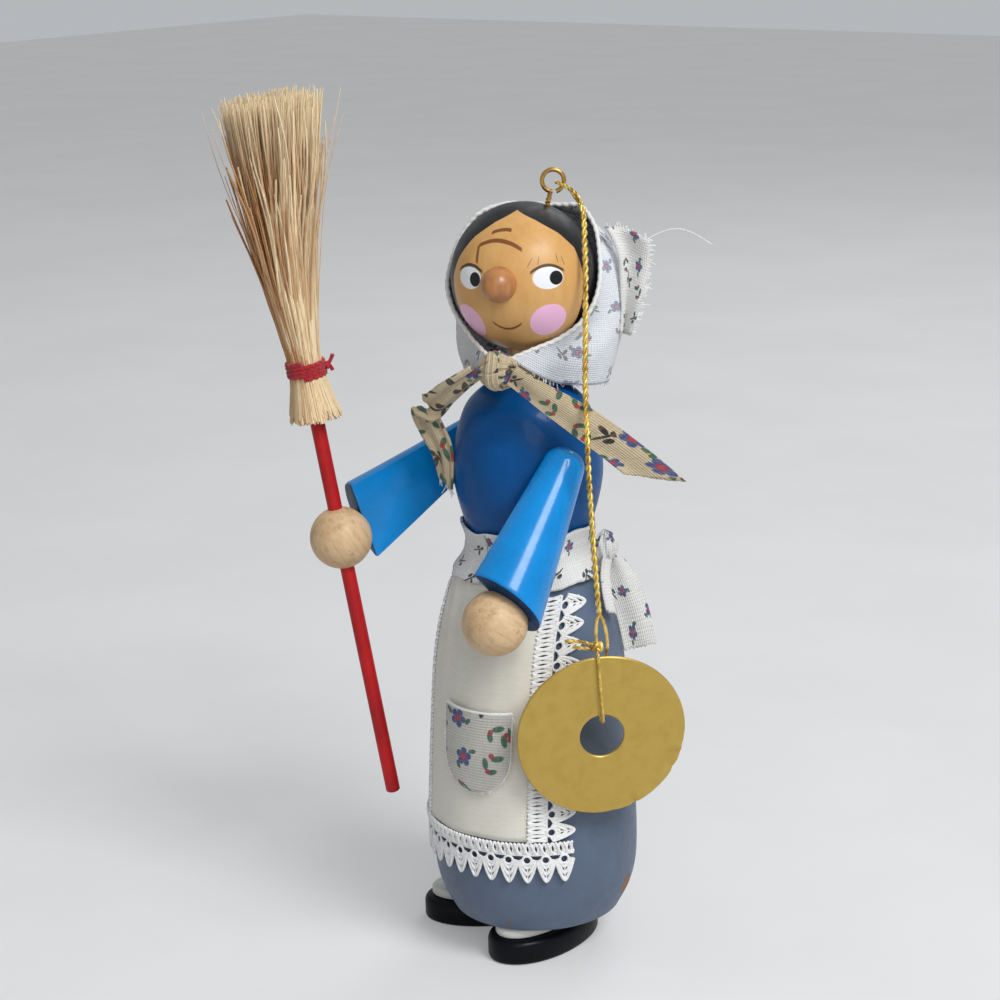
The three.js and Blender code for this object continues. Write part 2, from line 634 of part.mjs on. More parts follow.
function buildFibres() {
  const bundle = turned(
    [
      [0, BUNDLE_FOOT],
      ...smoothProfile(
        [
          [BUNDLE_FOOT_RADIUS, BUNDLE_FOOT],
          [BUNDLE_WAIST_RADIUS, BUNDLE_WAIST],
          [BUNDLE_TOP_RADIUS, BUNDLE_TOP],
        ],
        8
      ),
      [0, BUNDLE_TOP],
    ],
    ROUND_MIDDLE
  );
  const fanRoot = BUNDLE_TOP_RADIUS - 2 * STRAND_RADIUS;
  const fan = strands(FAN_STRANDS, 0, fanRoot, FAN_TIP_RADIUS / BUNDLE_TOP_RADIUS, (k) => [
    BUNDLE_TOP - STRAND_ROOT,
    BUNDLE_TOP + FAN_LENGTH - FAN_RAGGED * scatter(k),
    FAN_SWAY,
  ]);
  const buttInner = HANDLE_RADIUS + FIT + 2 * STRAND_RADIUS;
  const buttOuter = BUNDLE_FOOT_RADIUS - 2 * STRAND_RADIUS;
  const butts = strands(BUTT_STRANDS, buttInner, buttOuter, BUTT_RADIUS / BUNDLE_FOOT_RADIUS, (k) => [
    BUNDLE_FOOT + STRAND_ROOT,
    BUTT_START + scatter(k),
    vector(),
  ]);
  const handleHole = bar(HANDLE_RADIUS + FIT, 0, HANDLE_TOP + SEAT);
  const whole = wasm.Manifold.union([bundle, ...fan, ...butts].map(toSolid));
  return toGeometry(whole.subtract(toSolid(handleHole)));
}

// Yarn wound round the bundle's waist, with a straight end at both sides.
function windingPath() {
  const radius = BUNDLE_WAIST_RADIUS + GAP + BINDING_YARN_RADIUS;
  const points = spread(0, BINDING_TURNS, BINDING_TURNS * BINDING_STEPS).map((loops) => {
    const turn = loops * 2 * Math.PI;
    const rise = (loops - BINDING_TURNS / 2) * BINDING_PITCH;
    return vector(radius * Math.cos(turn), radius * Math.sin(turn), BUNDLE_WAIST + rise);
  });
  const straight = (end, before) =>
    end.clone().add(end.clone().sub(before).setLength(2 * BINDING_YARN_RADIUS));
  return [straight(points[0], points[1]), ...points, straight(points.at(-1), points.at(-2))];
}

function woundTube(points, radius, sides) {
  return loft(
    points.map((point, i) => {
      const along = points[Math.min(i + 1, points.length - 1)].clone().sub(points[Math.max(i - 1, 0)]);
      const across = vector(point.x, point.y, 0).normalize();
      const side = across.clone().cross(along).normalize();
      const out = along.clone().cross(side).normalize();
      return Array.from({ length: sides }, (_, k) => {
        const turn = (k / sides) * 2 * Math.PI;
        const [outwards, sideways] = [radius * Math.cos(turn), radius * Math.sin(turn)];
        return point.clone().addScaledVector(out, outwards).addScaledVector(side, sideways);
      });
    })
  );
}

// Least distance between the surfaces of two stretches of the yarn that are half a turn or more apart.
function leastGap(points, radius, apart) {
  let least = Infinity;
  points.forEach((point, i) => {
    for (let j = i + apart; j < points.length; j++) {
      least = Math.min(least, point.distanceTo(points[j]) - 2 * radius);
    }
  });
  return least;
}

function buildBroom() {
  const handle = bar(HANDLE_RADIUS, -HANDLE_BELOW, HANDLE_TOP);
  const winding = windingPath();
  const bore = bar(HANDLE_RADIUS + FIT, -2 * HAND_RADIUS, 2 * HAND_RADIUS);
  broom.updateMatrix();
  piece(rightArm.arm, "right_hand", cut(rightArm.ball, bore.applyMatrix4(broom.matrix)), PALE_WOOD);
  piece(broom, "broom_handle", handle, RED_PAINT);
  piece(broom, "broom_fibres", buildFibres(), STRAW);
  piece(broom, "broom_binding", woundTube(winding, BINDING_YARN_RADIUS, BINDING_SIDES), RED_YARN);
  const gap = leastGap(winding, BINDING_YARN_RADIUS, BINDING_STEPS / 2);
  console.log(`broom_binding least gap to itself ${gap.toFixed(2)} mm`);
}

buildBroom();

// Head: its group has its origin at the bead's middle and the face towards -Y

const head = new THREE.Group();
head.position.z = HEAD_Z;
head.rotation.z = radians(HEAD_TURN);
figure.add(head);

// Screw eye in the figure's frame, leaning out along its own offset.
function eyePlaced(geometry) {
  const wood = Math.sqrt(HEAD_RADIUS ** 2 - EYE_OFFSET.x ** 2 - EYE_OFFSET.y ** 2);
  const lean = Math.atan2(EYE_OFFSET.x, -EYE_OFFSET.y);
  return geometry
    .rotateX(radians(EYE_TILT))
    .rotateZ(lean)
    .translate(EYE_OFFSET.x, EYE_OFFSET.y, HEAD_Z + wood);
}

function eyeShank(radius, slack) {
  return eyePlaced(bar(radius, -EYE_SHANK_DEPTH - slack, EYE_SHANK_SHOWING + EYE_WIRE_RADIUS, 8));
}

function buildHead() {
  const toHead = (geometry) => {
    head.updateMatrix();
    return geometry.applyMatrix4(head.matrix.clone().invert());
  };
  const ball = new THREE.SphereGeometry(HEAD_RADIUS, ROUND_LARGE, ROUND_LARGE / 2).rotateX(Math.PI / 2);
  const noseTip = spread(0, Math.PI / 2, 5).map((turn) => [
    NOSE_RADIUS * Math.cos(turn),
    HEAD_RADIUS + NOSE_SHOWING + NOSE_ROUND * (Math.sin(turn) - 1),
  ]);
  const noseRoot = HEAD_RADIUS - NOSE_DEPTH;
  const nose = turned([[0, noseRoot], [NOSE_RADIUS, noseRoot], ...noseTip], ROUND_SMALL);
  const noseSocket = bar(NOSE_RADIUS + FIT, noseRoot - SEAT, 2 * HEAD_RADIUS);
  const eyeHole = toHead(eyeShank(EYE_WIRE_RADIUS + FIT, SEAT));
  const neckHole = toHead(neckSocket.clone());
  const inFace = (geometry) => geometry.rotateX(Math.PI / 2).translate(0, 0, NOSE_RISE);
  const drilled = cut(ball, inFace(noseSocket), neckHole, eyeHole);
  piece(head, "head_ball", drilled, HEAD_WOOD);
  piece(head, "nose_peg", inFace(nose), NOSE_WOOD);
}

buildHead();

function buildScrewEye() {
  const ringHeight = EYE_SHANK_SHOWING + EYE_RING_RADIUS;
  const ring = new THREE.TorusGeometry(EYE_RING_RADIUS, EYE_WIRE_RADIUS, 6, ROUND_MIDDLE)
    .rotateX(Math.PI / 2)
    .rotateZ(radians(EYE_TURN) - Math.atan2(EYE_OFFSET.x, -EYE_OFFSET.y))
    .translate(0, 0, ringHeight);
  piece(figure, "screw_eye", join(eyePlaced(ring), eyeShank(EYE_WIRE_RADIUS, 0)), BRASS);
}

buildScrewEye();

// Kerchief: a hood round the head, a pinched corner behind it, a knot under the chin and two tails

const HOOD_INNER = HEAD_RADIUS + GAP;

function hoodProfile(grow) {
  const crown = Array.from({ length: 7 }, (_, k) => {
    const turn = (k / 6) * (Math.PI / 2);
    return [(HOOD_INNER + grow) * Math.sin(turn), (HOOD_INNER + grow) * Math.cos(turn)];
  });
  return [
    ...crown,
    [HOOD_SIDE_RADIUS - CLOTH + grow, -HOOD_SIDE_DROP],
    [HOOD_EDGE_RADIUS - CLOTH + grow, -HOOD_EDGE_DROP],
  ];
}

// Solid in front of the kerchief's edge as seen from the side: the face's opening and the bare throat.
function faceOpening() {
  const wide = 4 * HEAD_RADIUS;
  const outline = new THREE.Shape()
    .moveTo(wide, wide)
    .lineTo(FACE_BROW[0], wide)
    .lineTo(...FACE_BROW)
    .quadraticCurveTo(...FACE_TEMPLE, ...FACE_CHEEK)
    .quadraticCurveTo(...FACE_JAW, ...FACE_CHIN)
    .lineTo(wide, FACE_CHIN[1]);
  const throat = new THREE.Shape()
    .moveTo(wide, THROAT_FRONT[1])
    .lineTo(...THROAT_FRONT)
    .quadraticCurveTo(...THROAT_BEND, ...THROAT_BACK)
    .lineTo(wide, THROAT_BACK[1]);
  return [outline, throat].map((shape) =>
    new THREE.ExtrudeGeometry(shape, { depth: wide, bevelEnabled: false, curveSegments: 6 })
      .translate(0, 0, -wide / 2)
      .rotateX(Math.PI / 2)
      .rotateZ(-Math.PI / 2)
  );
}

function hoodSlack(turn, z) {
  const away = (turn - radians(HOOD_SLACK_TURN)) / radians(HOOD_SLACK_WIDTH);
  return HOOD_SLACK * Math.exp(-away * away) * (1 - THREE.MathUtils.smoothstep(z, ...HOOD_SLACK_FADE));
}

// The cloth hangs free behind, loosest on the left, and is drawn in under the chin in front.
function drawnIn(shell) {
  const place = shell.attributes.position;
  for (let i = 0; i < place.count; i++) {
    const point = vector().fromBufferAttribute(place, i);
    const out = Math.max(Math.hypot(point.x, point.y), CLOTH);
    const drawn = THREE.MathUtils.smoothstep(-point.y / out, HOOD_DRAW_START, 1);
    const slack = hoodSlack(Math.atan2(point.x, -point.y), point.z);
    const share = 1 - HOOD_CHIN_DRAW * Math.max(0, -point.z) * drawn + slack / out;
    place.setXYZ(i, point.x * share, point.y * share, point.z);
  }
  return shell;
}

function buildHood() {
  head.updateMatrix();
  const toHead = head.matrix.clone().invert();
  const shell = drawnIn(turned([...hoodProfile(CLOTH), ...hoodProfile(0).reverse()]));
  const eyeHole = eyeShank(EYE_WIRE_RADIUS + GAP, 0).applyMatrix4(toHead);
  const knotRoom = kerchiefKnot(GAP).applyMatrix4(toHead);
  piece(head, "kerchief_hood", cut(shell, ...faceOpening(), eyeHole, knotRoom), PRINT_CLOTH);
}

function growSize(size, by) {
  return { x: size.x + by, y: size.y + by, z: size.z + by };
}

function kerchiefKnot(slack) {
  const middle = around(HEAD_RADIUS - KNOT_INSET, radians(KNOT_TURN), TORSO_TOP_Z + KNOT_ABOVE_TORSO);
  return scaledBall(1, growSize(KNOT_SIZE, slack)).translate(...middle);
}

// Strip of cloth along points, its width turned by hand-chosen directions, with lengthwise pleats.
function strip(points, widths, acrossList, pleats) {
  const path = new THREE.CatmullRomCurve3(points);
  const acrossPath = new THREE.CatmullRomCurve3(acrossList);
  const steps = 2 * (points.length - 1);
  const places = 4 * pleats;
  const rows = Array.from({ length: steps + 1 }, (_, i) => {
    const share = i / steps;
    const middle = path.getPoint(share);
    const along = path.getTangent(share);
    const across = acrossPath.getPoint(share).projectOnPlane(along).normalize();
    const out = along.clone().cross(across);
    const width = widths(share);
    return Array.from({ length: places + 1 }, (_, j) => {
      const spot = j / places - 0.5;
      const pleat = TAIL_PLEAT * Math.sin(2 * Math.PI * pleats * spot);
      return middle.clone().addScaledVector(across, spot * width).addScaledVector(out, pleat);
    });
  });
  return sheet(rows, CLOTH);
}

// Routes of the tails: out from the torso's widest radius, turned from the front, above the torso's top.
const LONG_TAIL = [
  [0.8, 29.5, 2.7],
  [2.7, 48, 0.3],
  [5.2, 67, -3.1],
  [9, 84, -8.1],
  [12, 96.5, -13],
];
const SHORT_TAIL = [
  [-0.2, 0, 2.7],
  [1.1, -15.5, 0.5],
  [2.3, -32, -2.1],
  [3.4, -45, -4.1],
  [2.7, -47, -6.3],
  [1.4, -45, -9.5],
  [1, -45, -14.1],
];

// The ways that the tails' widths run, from root to tip.
const LONG_TAIL_ACROSS = [vector(0.35, 0.2, 1), vector(0.35, 0.2, 1)];
const SHORT_TAIL_ACROSS = [
  vector(0.3, -0.7, 0.9),
  vector(0.3, -0.7, 0.9),
  vector(0.7, -0.7, 0),
  vector(0.7, -0.7, 0),
];

function tailRoute(places) {
  return places.map(([out, turn, rise]) => around(TORSO_RADIUS + out, radians(turn), TORSO_TOP_Z + rise));
}

function buildKerchiefEnds() {
  const knotRoom = kerchiefKnot(GAP);
  piece(figure, "kerchief_knot", kerchiefKnot(0), PRINT_CLOTH);

  const lerp = THREE.MathUtils.lerp;
  const widening = (share) => lerp(LONG_TAIL_ROOT_WIDTH, LONG_TAIL_WIDTH, share);
  const longTail = strip(tailRoute(LONG_TAIL), widening, LONG_TAIL_ACROSS, TAIL_PLEATS);
  piece(figure, "kerchief_long_tail", cut(longTail, knotRoom), PRINT_CLOTH);

  const shortTail = strip(tailRoute(SHORT_TAIL), () => SHORT_TAIL_WIDTH, SHORT_TAIL_ACROSS, TAIL_PLEATS);
  piece(figure, "kerchief_short_tail", cut(shortTail, knotRoom), PRINT_CLOTH);

  const turn = radians(CORNER_TURN);
  const rows = spread(0, 1, 4).map((share) => {
    const z = lerp(HEAD_Z + CORNER_RISE, HEAD_Z - CORNER_DROP, share);
    const slack = hoodSlack(turn - radians(HEAD_TURN), z - HEAD_Z);
    const inner = hoodRadiusAt(z) + slack + CLOTH + 2 * GAP;
    const outer = inner + lerp(CORNER_OUT, CORNER_FOOT_OUT, share);
    return spread(0, 1, 3).map((spot) => {
      const fold = CORNER_FOLD * Math.sin(2 * Math.PI * spot);
      return around(lerp(inner, outer, spot), turn + fold / outer, z);
    });
  });
  piece(figure, "kerchief_corner", sheet(rows, CLOTH), PRINT_CLOTH);
}

function hoodRadiusAt(z) {
  const rising = hoodProfile(0).map(([radius, height]) => [radius, height + HEAD_Z]).reverse();
  return radiusAt(rising, z);
}

buildHood();
buildKerchiefEnds();

// Apron: cloth on the skirt, lace on three sides, a pocket, and the waistband with its tie

function onSkirt(lift, arc, z) {
  const radius = bodyRadius(z) + lift;
  return around(radius, arc / radius, z);
}

// Width of the lace at a share of one scallop.
function scallop(share, valley, width) {
  return valley + (width - valley) * (1 - Math.abs(2 * share - 1));
}

const APRON_TOP_Z = BAND_FOOT_Z - GAP;
const CLOTH_LIFT = GAP + CLOTH / 2;
const LACE_LIFT = GAP + LACE_THICKNESS / 2;
const SCALLOP_STEPS = 2;

function buildApron() {
  const cloth = spread(APRON_TOP_Z, APRON_HEM_Z + GAP, 9).map((z) =>
    spread(-APRON_HALF_WIDTH, APRON_HALF_WIDTH, 8).map((arc) => onSkirt(CLOTH_LIFT, arc, z))
  );
  piece(figure, "apron_panel", sheet(cloth, CLOTH), APRON_CLOTH);

  const sideScallops = Math.floor((APRON_TOP_Z - APRON_HEM_Z - GAP) / LACE_PITCH);
  const sideStart = APRON_HEM_Z + GAP;
  const laceSide = (side) =>
    Array.from({ length: sideScallops * SCALLOP_STEPS + 1 }, (_, k) => {
      const z = sideStart + (k / SCALLOP_STEPS) * LACE_PITCH;
      const width = scallop((k % SCALLOP_STEPS) / SCALLOP_STEPS, LACE_VALLEY, LACE_WIDTH);
      const inner = APRON_HALF_WIDTH + GAP;
      return [0, LACE_VALLEY - GAP, width].map((across) =>
        onSkirt(LACE_LIFT, side * (inner + across), z)
      );
    });
  piece(figure, "apron_lace_left", sheet(laceSide(1), LACE_THICKNESS), LACE_THREAD);
  piece(figure, "apron_lace_right", sheet(laceSide(-1), LACE_THICKNESS), LACE_THREAD);

  const halfHem = APRON_HALF_WIDTH + GAP + LACE_WIDTH;
  const hemScallops = Math.floor((2 * halfHem) / LACE_PITCH);
  const hemValley = HEM_LACE_WIDTH - (LACE_WIDTH - LACE_VALLEY);
  const hem = Array.from({ length: hemScallops * SCALLOP_STEPS + 1 }, (_, k) => {
    const arc = (k / SCALLOP_STEPS - hemScallops / 2) * LACE_PITCH;
    const width = scallop((k % SCALLOP_STEPS) / SCALLOP_STEPS, hemValley, HEM_LACE_WIDTH);
    return [0, hemValley - GAP, width].map((across) => onSkirt(LACE_LIFT, arc, APRON_HEM_Z - across));
  });
  piece(figure, "apron_lace_hem", sheet(hem, LACE_THICKNESS), LACE_THREAD);

  const pocketLift = 2 * GAP + 1.5 * CLOTH;
  const pocket = spread(0, 1, 6).map((share) => {
    const rounding = Math.max(0, 2 * share - 1) ** 2;
    const half = THREE.MathUtils.lerp(POCKET_WIDTH, POCKET_FOOT_WIDTH, rounding) / 2;
    const z = POCKET_TOP_Z - share * POCKET_HEIGHT;
    const middle = radians(POCKET_TURN) * (bodyRadius(z) + pocketLift);
    return spread(middle - half, middle + half, 6).map((arc) => onSkirt(pocketLift, arc, z));
  });
  piece(figure, "apron_pocket", sheet(pocket, CLOTH), PRINT_CLOTH);
}

// Routes of the tie's ends: out from the skirt, aside along it, below the knot's middle.
const TIE_TAIL = [
  [2.6, 0.6, 1.2],
  [3.4, 1, 4],
  [3.8, 1.4, 8],
  [3.8, 1.6, 12.6],
];
const TIE_END = [
  [2.6, -0.8, 1.2],
  [1.7, -2.4, 4],
  [1.1, -3.4, 8.4],
];

function buildWaistTie() {
  const heights = spread(BAND_FOOT_Z, BAND_TOP_Z, 4);
  const inside = heights.map((z) => [bodyRadius(z) + GAP, z]);
  const outside = inside.map(([radius, z]) => [radius + BAND_THICKNESS, z]).reverse();
  piece(figure, "apron_waistband", turned([...inside, ...outside, inside[0]]), PRINT_CLOTH);

  const turn = radians(TIE_TURN);
  const knotZ = (BAND_FOOT_Z + BAND_TOP_Z) / 2;
  const bandOut = bodyRadius(knotZ) + GAP + BAND_THICKNESS;
  const knotOut = bandOut + GAP + TIE_KNOT_SIZE.y;
  const place = (out, aside, z) =>
    around(out, turn, z).add(vector(Math.cos(turn), Math.sin(turn), 0).multiplyScalar(aside));
  const knotAt = (size) =>
    scaledBall(1, size).rotateZ(turn).translate(...place(knotOut, 0, knotZ));
  piece(figure, "apron_tie_knot", knotAt(TIE_KNOT_SIZE), PRINT_CLOTH);

  const knotRoom = knotAt(growSize(TIE_KNOT_SIZE, GAP));
  const hanging = (route) =>
    route.map(([lift, aside, drop]) => place(bodyRadius(knotZ - drop) + lift, aside, knotZ - drop));
  const outwards = around(1, radians(TIE_TAIL_TURN), 0);
  const lerp = THREE.MathUtils.lerp;
  const leaf = (share) => lerp(TIE_TAIL_TIP_WIDTH, TIE_TAIL_WIDTH, Math.sin(Math.PI * share));
  const tail = strip(hanging(TIE_TAIL), leaf, [outwards, outwards], 1);
  piece(figure, "apron_tie_tail", cut(tail, knotRoom), PRINT_CLOTH);
  const alongSkirt = vector(Math.cos(turn), Math.sin(turn), 0);
  const widening = (share) => lerp(TIE_END_ROOT_WIDTH, TIE_END_WIDTH, share);
  const end = strip(hanging(TIE_END), widening, [alongSkirt, alongSkirt], 1);
  piece(figure, "apron_tie_end", cut(end, knotRoom), PRINT_CLOTH);
}

buildApron();
buildWaistTie();

// Cord from the screw eye down over the left shoulder, its knot, and the tag that hangs from it

const CORD_ROUTE = [
  vector(7.4, 2.9, 104.2),
  vector(8.6, 2, 102.9),
  vector(10.3, 0, 99.3),
  vector(11.2, -1.1, 95.6),
  vector(11.8, -2, 91.2),
  vector(12.5, -3, 87.4),
  vector(14.1, -5.2, 82.7),
  vector(15.9, -7.4, 78.1),
  vector(16.6, -8.1, 73.1),
  vector(17.1, -8.4, 68),
  vector(17.4, -8.3, 62),
  vector(17.7, -8, 55.9),
  vector(18, -7.6, 49.5),
];
// Thread through the ring: places to the right of its middle, above it and out of its face.
const EYE_LOOP = [
  [2.9, -1.4, 2.7],
  [1.7, -0.6, 1.8],
  [0.8, -0.25, 0.85],
  [0.45, -0.2, 0],
  [0.85, -0.45, -0.8],
  [1.8, -0.9, -0.8],
  [2.5, -1.5, 0.2],
  [2.8, -2, 1.5],
];
const CORD_KNOT = vector(18.05, -7.5, 48.1);

function buildCord() {
  piece(figure, "hanging_cord", cordTube(CORD_ROUTE, CORD_RADIUS, CORD_STEPS), GOLD_CORD);
  const ringMiddle = [vector(0, 0, EYE_SHANK_SHOWING + EYE_RING_RADIUS)];
  const ring = eyePlaced(new THREE.BufferGeometry().setFromPoints(ringMiddle));
  const middle = vector().fromBufferAttribute(ring.attributes.position, 0);
  const through = around(1, radians(EYE_TURN), 0);
  const aside = vector(-through.y, through.x, 0);
  const loop = EYE_LOOP.map(([right, up, out]) =>
    middle.clone().addScaledVector(aside, right).addScaledVector(through, out).add(vector(0, 0, up))
  );
  piece(figure, "cord_eye_loop", cordTube(loop, THREAD_RADIUS, THREAD_STEPS), GOLD_CORD);
  const knot = new THREE.SphereGeometry(CORD_KNOT_RADIUS, ROUND_SMALL, ROUND_SMALL - 4);
  piece(figure, "cord_knot", knot.translate(...CORD_KNOT), GOLD_CORD);
}

function buildTag() {
  const tag = new THREE.Group();
  tag.position.copy(CORD_KNOT);
  tag.rotation.set(radians(TAG_TILT), 0, radians(TAG_TURN), "ZXY");
  figure.add(tag);
  const drop = CORD_KNOT_RADIUS + TAG_EDGE_BELOW_KNOT + TAG_RADIUS;
  const outline = new THREE.Shape().absarc(0, 0, TAG_RADIUS, 0, 2 * Math.PI);
  outline.holes.push(new THREE.Path().absarc(0, 0, TAG_HOLE_RADIUS, 0, 2 * Math.PI, true));
  const disc = new THREE.ExtrudeGeometry(outline, {
    depth: TAG_THICKNESS,
    bevelEnabled: false,
    curveSegments: ROUND_MIDDLE,
  })
    .translate(0, 0, -TAG_THICKNESS / 2)
    .rotateX(Math.PI / 2)
    .translate(0, 0, -drop);
  piece(tag, "tag_disc", disc, GOLD_CARD);
  const off = TAG_THICKNESS / 2 + GAP + THREAD_RADIUS;
  const top = -CORD_KNOT_RADIUS - GAP;
  const holeTop = -drop + TAG_HOLE_RADIUS - GAP - THREAD_RADIUS;
  const thread = [
    vector(0, -off, top),
    vector(0, -off, holeTop / 2),
    vector(0, -off, holeTop + THREAD_RADIUS),
    vector(0, 0, holeTop - GAP),
    vector(0, off, holeTop + THREAD_RADIUS),
    vector(0, off, holeTop / 2),
    vector(0, off, top),
  ];
  piece(tag, "tag_thread", cordTube(thread, THREAD_RADIUS, THREAD_STEPS), GOLD_CORD);
}

buildCord();
buildTag();

export default figure;
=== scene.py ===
"""Wooden folk figurine: finishes, cloth, lace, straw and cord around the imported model, in metres."""
import math
import random

import bpy
from mathutils import Matrix, Vector


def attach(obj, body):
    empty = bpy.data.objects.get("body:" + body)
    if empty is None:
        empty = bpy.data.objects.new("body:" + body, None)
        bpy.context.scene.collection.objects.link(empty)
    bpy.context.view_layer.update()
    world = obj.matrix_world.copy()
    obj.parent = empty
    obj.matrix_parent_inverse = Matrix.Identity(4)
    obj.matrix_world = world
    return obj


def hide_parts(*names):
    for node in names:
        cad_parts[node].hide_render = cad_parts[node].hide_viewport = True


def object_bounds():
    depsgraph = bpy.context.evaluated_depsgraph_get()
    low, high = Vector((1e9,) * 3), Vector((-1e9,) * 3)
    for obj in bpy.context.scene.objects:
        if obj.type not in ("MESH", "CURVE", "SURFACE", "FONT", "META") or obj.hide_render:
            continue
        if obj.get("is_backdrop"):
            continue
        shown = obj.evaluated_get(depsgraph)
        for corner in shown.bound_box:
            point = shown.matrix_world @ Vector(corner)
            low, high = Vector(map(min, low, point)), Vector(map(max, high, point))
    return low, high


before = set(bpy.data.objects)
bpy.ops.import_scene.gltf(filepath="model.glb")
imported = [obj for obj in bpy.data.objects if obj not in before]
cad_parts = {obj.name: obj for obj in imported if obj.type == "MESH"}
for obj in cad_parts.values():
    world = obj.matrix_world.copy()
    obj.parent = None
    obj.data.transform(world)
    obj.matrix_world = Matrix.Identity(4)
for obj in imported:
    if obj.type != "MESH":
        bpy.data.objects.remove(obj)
CAD_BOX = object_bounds()

# Sizes are in millimetres, as in the model's own drawing; MM turns them into metres
MM = 0.001
TURN = 2 * math.pi

# Turned body: (radius, height) through which the outlines pass
SKIRT_OUTLINE = [(11.6, 5.0), (14.2, 13.0), (13.3, 35.0), (11.8, 47.0), (8.0, 58.0)]
TORSO_OUTLINE = [(7.9, 58.1), (10.2, 67.7), (8.5, 76.5), (4.4, 80.5)]
TORSO_TOP_Z = 80.5
TORSO_RADIUS = 10.2
HEAD_RADIUS = 9.75
HEAD_Z = 94.45
HEAD_TURN = 24
NOSE_RADIUS = 2.3
NOSE_ROOT = 6.75
NOSE_TIP = 12.65
NOSE_ROUND = 2.3
NOSE_RISE = 0.4
NOSE_ASIDE = -4

# Arms
SHOULDER_TURN = -20
SHOULDER = (11.4, -1.5, 70.7)
ARM_SPLAY = 10
ARM_DROOP = {"left": 54, "right": 33}
ARM_SIDE = {"left": 1, "right": -1}
SLEEVE_INNER = 0.7  # from the arm's axis to the sleeve's flat side, at the shoulder
SLEEVE_BACK = 2.4
SLEEVE_LENGTH = 19.8
SLEEVE_RADII = (2.6, 5.6)
SLEEVE_CUFF_SLANT = 14
SLEEVE_FLAT = 0.6  # from the arm's axis to the flat side, along the arm
HAND_REACH = {"left": 22.6, "right": 23.6}
HAND_RADIUS = 4.3

# Broom, counted along the handle from the hand's middle
BROOM_LEAN = (6, -6.6)
HANDLE = (1.0, -38.0, 30.6)
STRAW_STATIONS = [(17.0, 3.8), (21.0, 2.8), (24.2, 2.05), (32.1, 3.15), (47.0, 5.4), (61.6, 7.6)]
STRAW_SWAY = (2.1, 1.7)
STRAW_COUNT = 1900
STRAW_LOCKS = 26
VIEW_TURN = 0.7  # the side of the bundle that shows most
STRAW_STRAYS = 54
STRAW_PALE = 16
STRAW_SEED = 11
STRAW_THICKNESSES = (0.06, 0.07, 0.08, 0.09, 0.1, 0.11, 0.17)
STRAY_THICKNESSES = (0.06, 0.08, 0.2)
STRAW_TURN_SPREAD = 0.7
STRAW_DEPTH_SPREAD = 0.24
STRAW_SHORTEST = 16  # how far below the tips the shortest straws end
# Ranges for loose straws, and for the pale ones on the side that shows most; ends count down from the tips
STRAY = {"end": (-0.8, 16), "flare": (0.98, 1.5), "curl": (-0.6, 0.6), "wave": (-1.2, 1.2)}
PALE = {"end": (1, 14), "flare": (1.0, 1.08), "thick": (0.16, 0.24), "wave": (-1.8, 1.8)}
BINDING_HEIGHT = 24.2
BINDING_RADIUS = 2.42
BINDING_TURNS = 4
BINDING_PITCH = 0.54
YARN_TWINE = (0.13, 1.6, 0.27)  # the strands' offset, pitch and radius

# Kerchief
HOOD_RADIUS = 10.45
HOOD_SIDE = (10.95, -7.4)
HOOD_EDGE = (9.6, -15.0)
HOOD_SLACK = 2.7  # loose cloth behind the figure's left ear, its turn and width in radians
HOOD_SLACK_TURN = 2.2
HOOD_SLACK_WIDTH = 0.65
CHIN_DRAW = 0.036
CHIN_DRAW_START = -0.75
# Face edge from the crown down to the knot on each side of the head: aside, forward and up from its middle
FACE_EDGES = {
    "left": [
        (0.0, -5.6, 8.7),
        (3.8, -5.8, 8.6),
        (6.6, -5.2, 8.5),
        (8.9, -3.4, 6.2),
        (10.0, -1.4, 2.8),
        (10.4, 0.4, -0.4),
        (10.0, 1.9, -3.0),
        (8.6, 3.1, -5.4),
        (6.2, 4.5, -7.5),
        (3.6, 6.0, -8.8),
        (1.4, 7.6, -9.8),
    ],
    "right": [
        (0.0, -5.6, 8.7),
        (3.7, -4.4, 8.8),
        (6.9, -2.7, 7.6),
        (9.2, -2.0, 4.6),
        (10.2, -0.5, 1.4),
        (10.3, 1.2, -1.4),
        (9.4, 2.4, -3.9),
        (7.9, 3.4, -6.0),
        (5.9, 4.6, -7.7),
        (3.6, 6.0, -8.8),
        (1.4, 7.6, -9.8),
    ],
}
EDGE_ASIDE = -1.3  # of the edge's end, towards the knot
HOOD_INSIDE = 10.15
HOOD_CROWN = 0.45  # share of the face edge's length beside the crown
CLOTH = 0.36
THIN_CLOTH = 0.25
CLOTH_SMOOTH = 70
KNOT = (9.4, 16, 83.4)  # out from the axis, turned from the front, height
KNOT_SIZE = (2.2, 1.8, 2.6)
LONG_TAIL = [(0.8, 29.5, 2.7), (2.7, 48, 0.3), (5.2, 67, -3.1), (9.0, 84, -8.1), (12.0, 96.5, -13.0)]
SHORT_TAIL = [
    (-0.2, 0, 2.7),
    (1.1, -15.5, 0.5),
    (2.3, -32, -2.1),
    (3.4, -45, -4.1),
    (2.7, -47, -6.3),
    (1.4, -45, -9.5),
    (1.0, -45, -14.1),
]
LONG_TAIL_ACROSS = [(0.35, 0.2, 1)] * 3
SHORT_TAIL_ACROSS = [
    (0.3, -0.7, 0.9),
    (0.3, -0.7, 0.9),
    (0.6, -0.3, 0.6),
    (0.9, 0.1, 0.3),
    (0.9, 0.1, 0.1),
    (0.8, -0.3, 0),
]
CORNER_TURN = 131

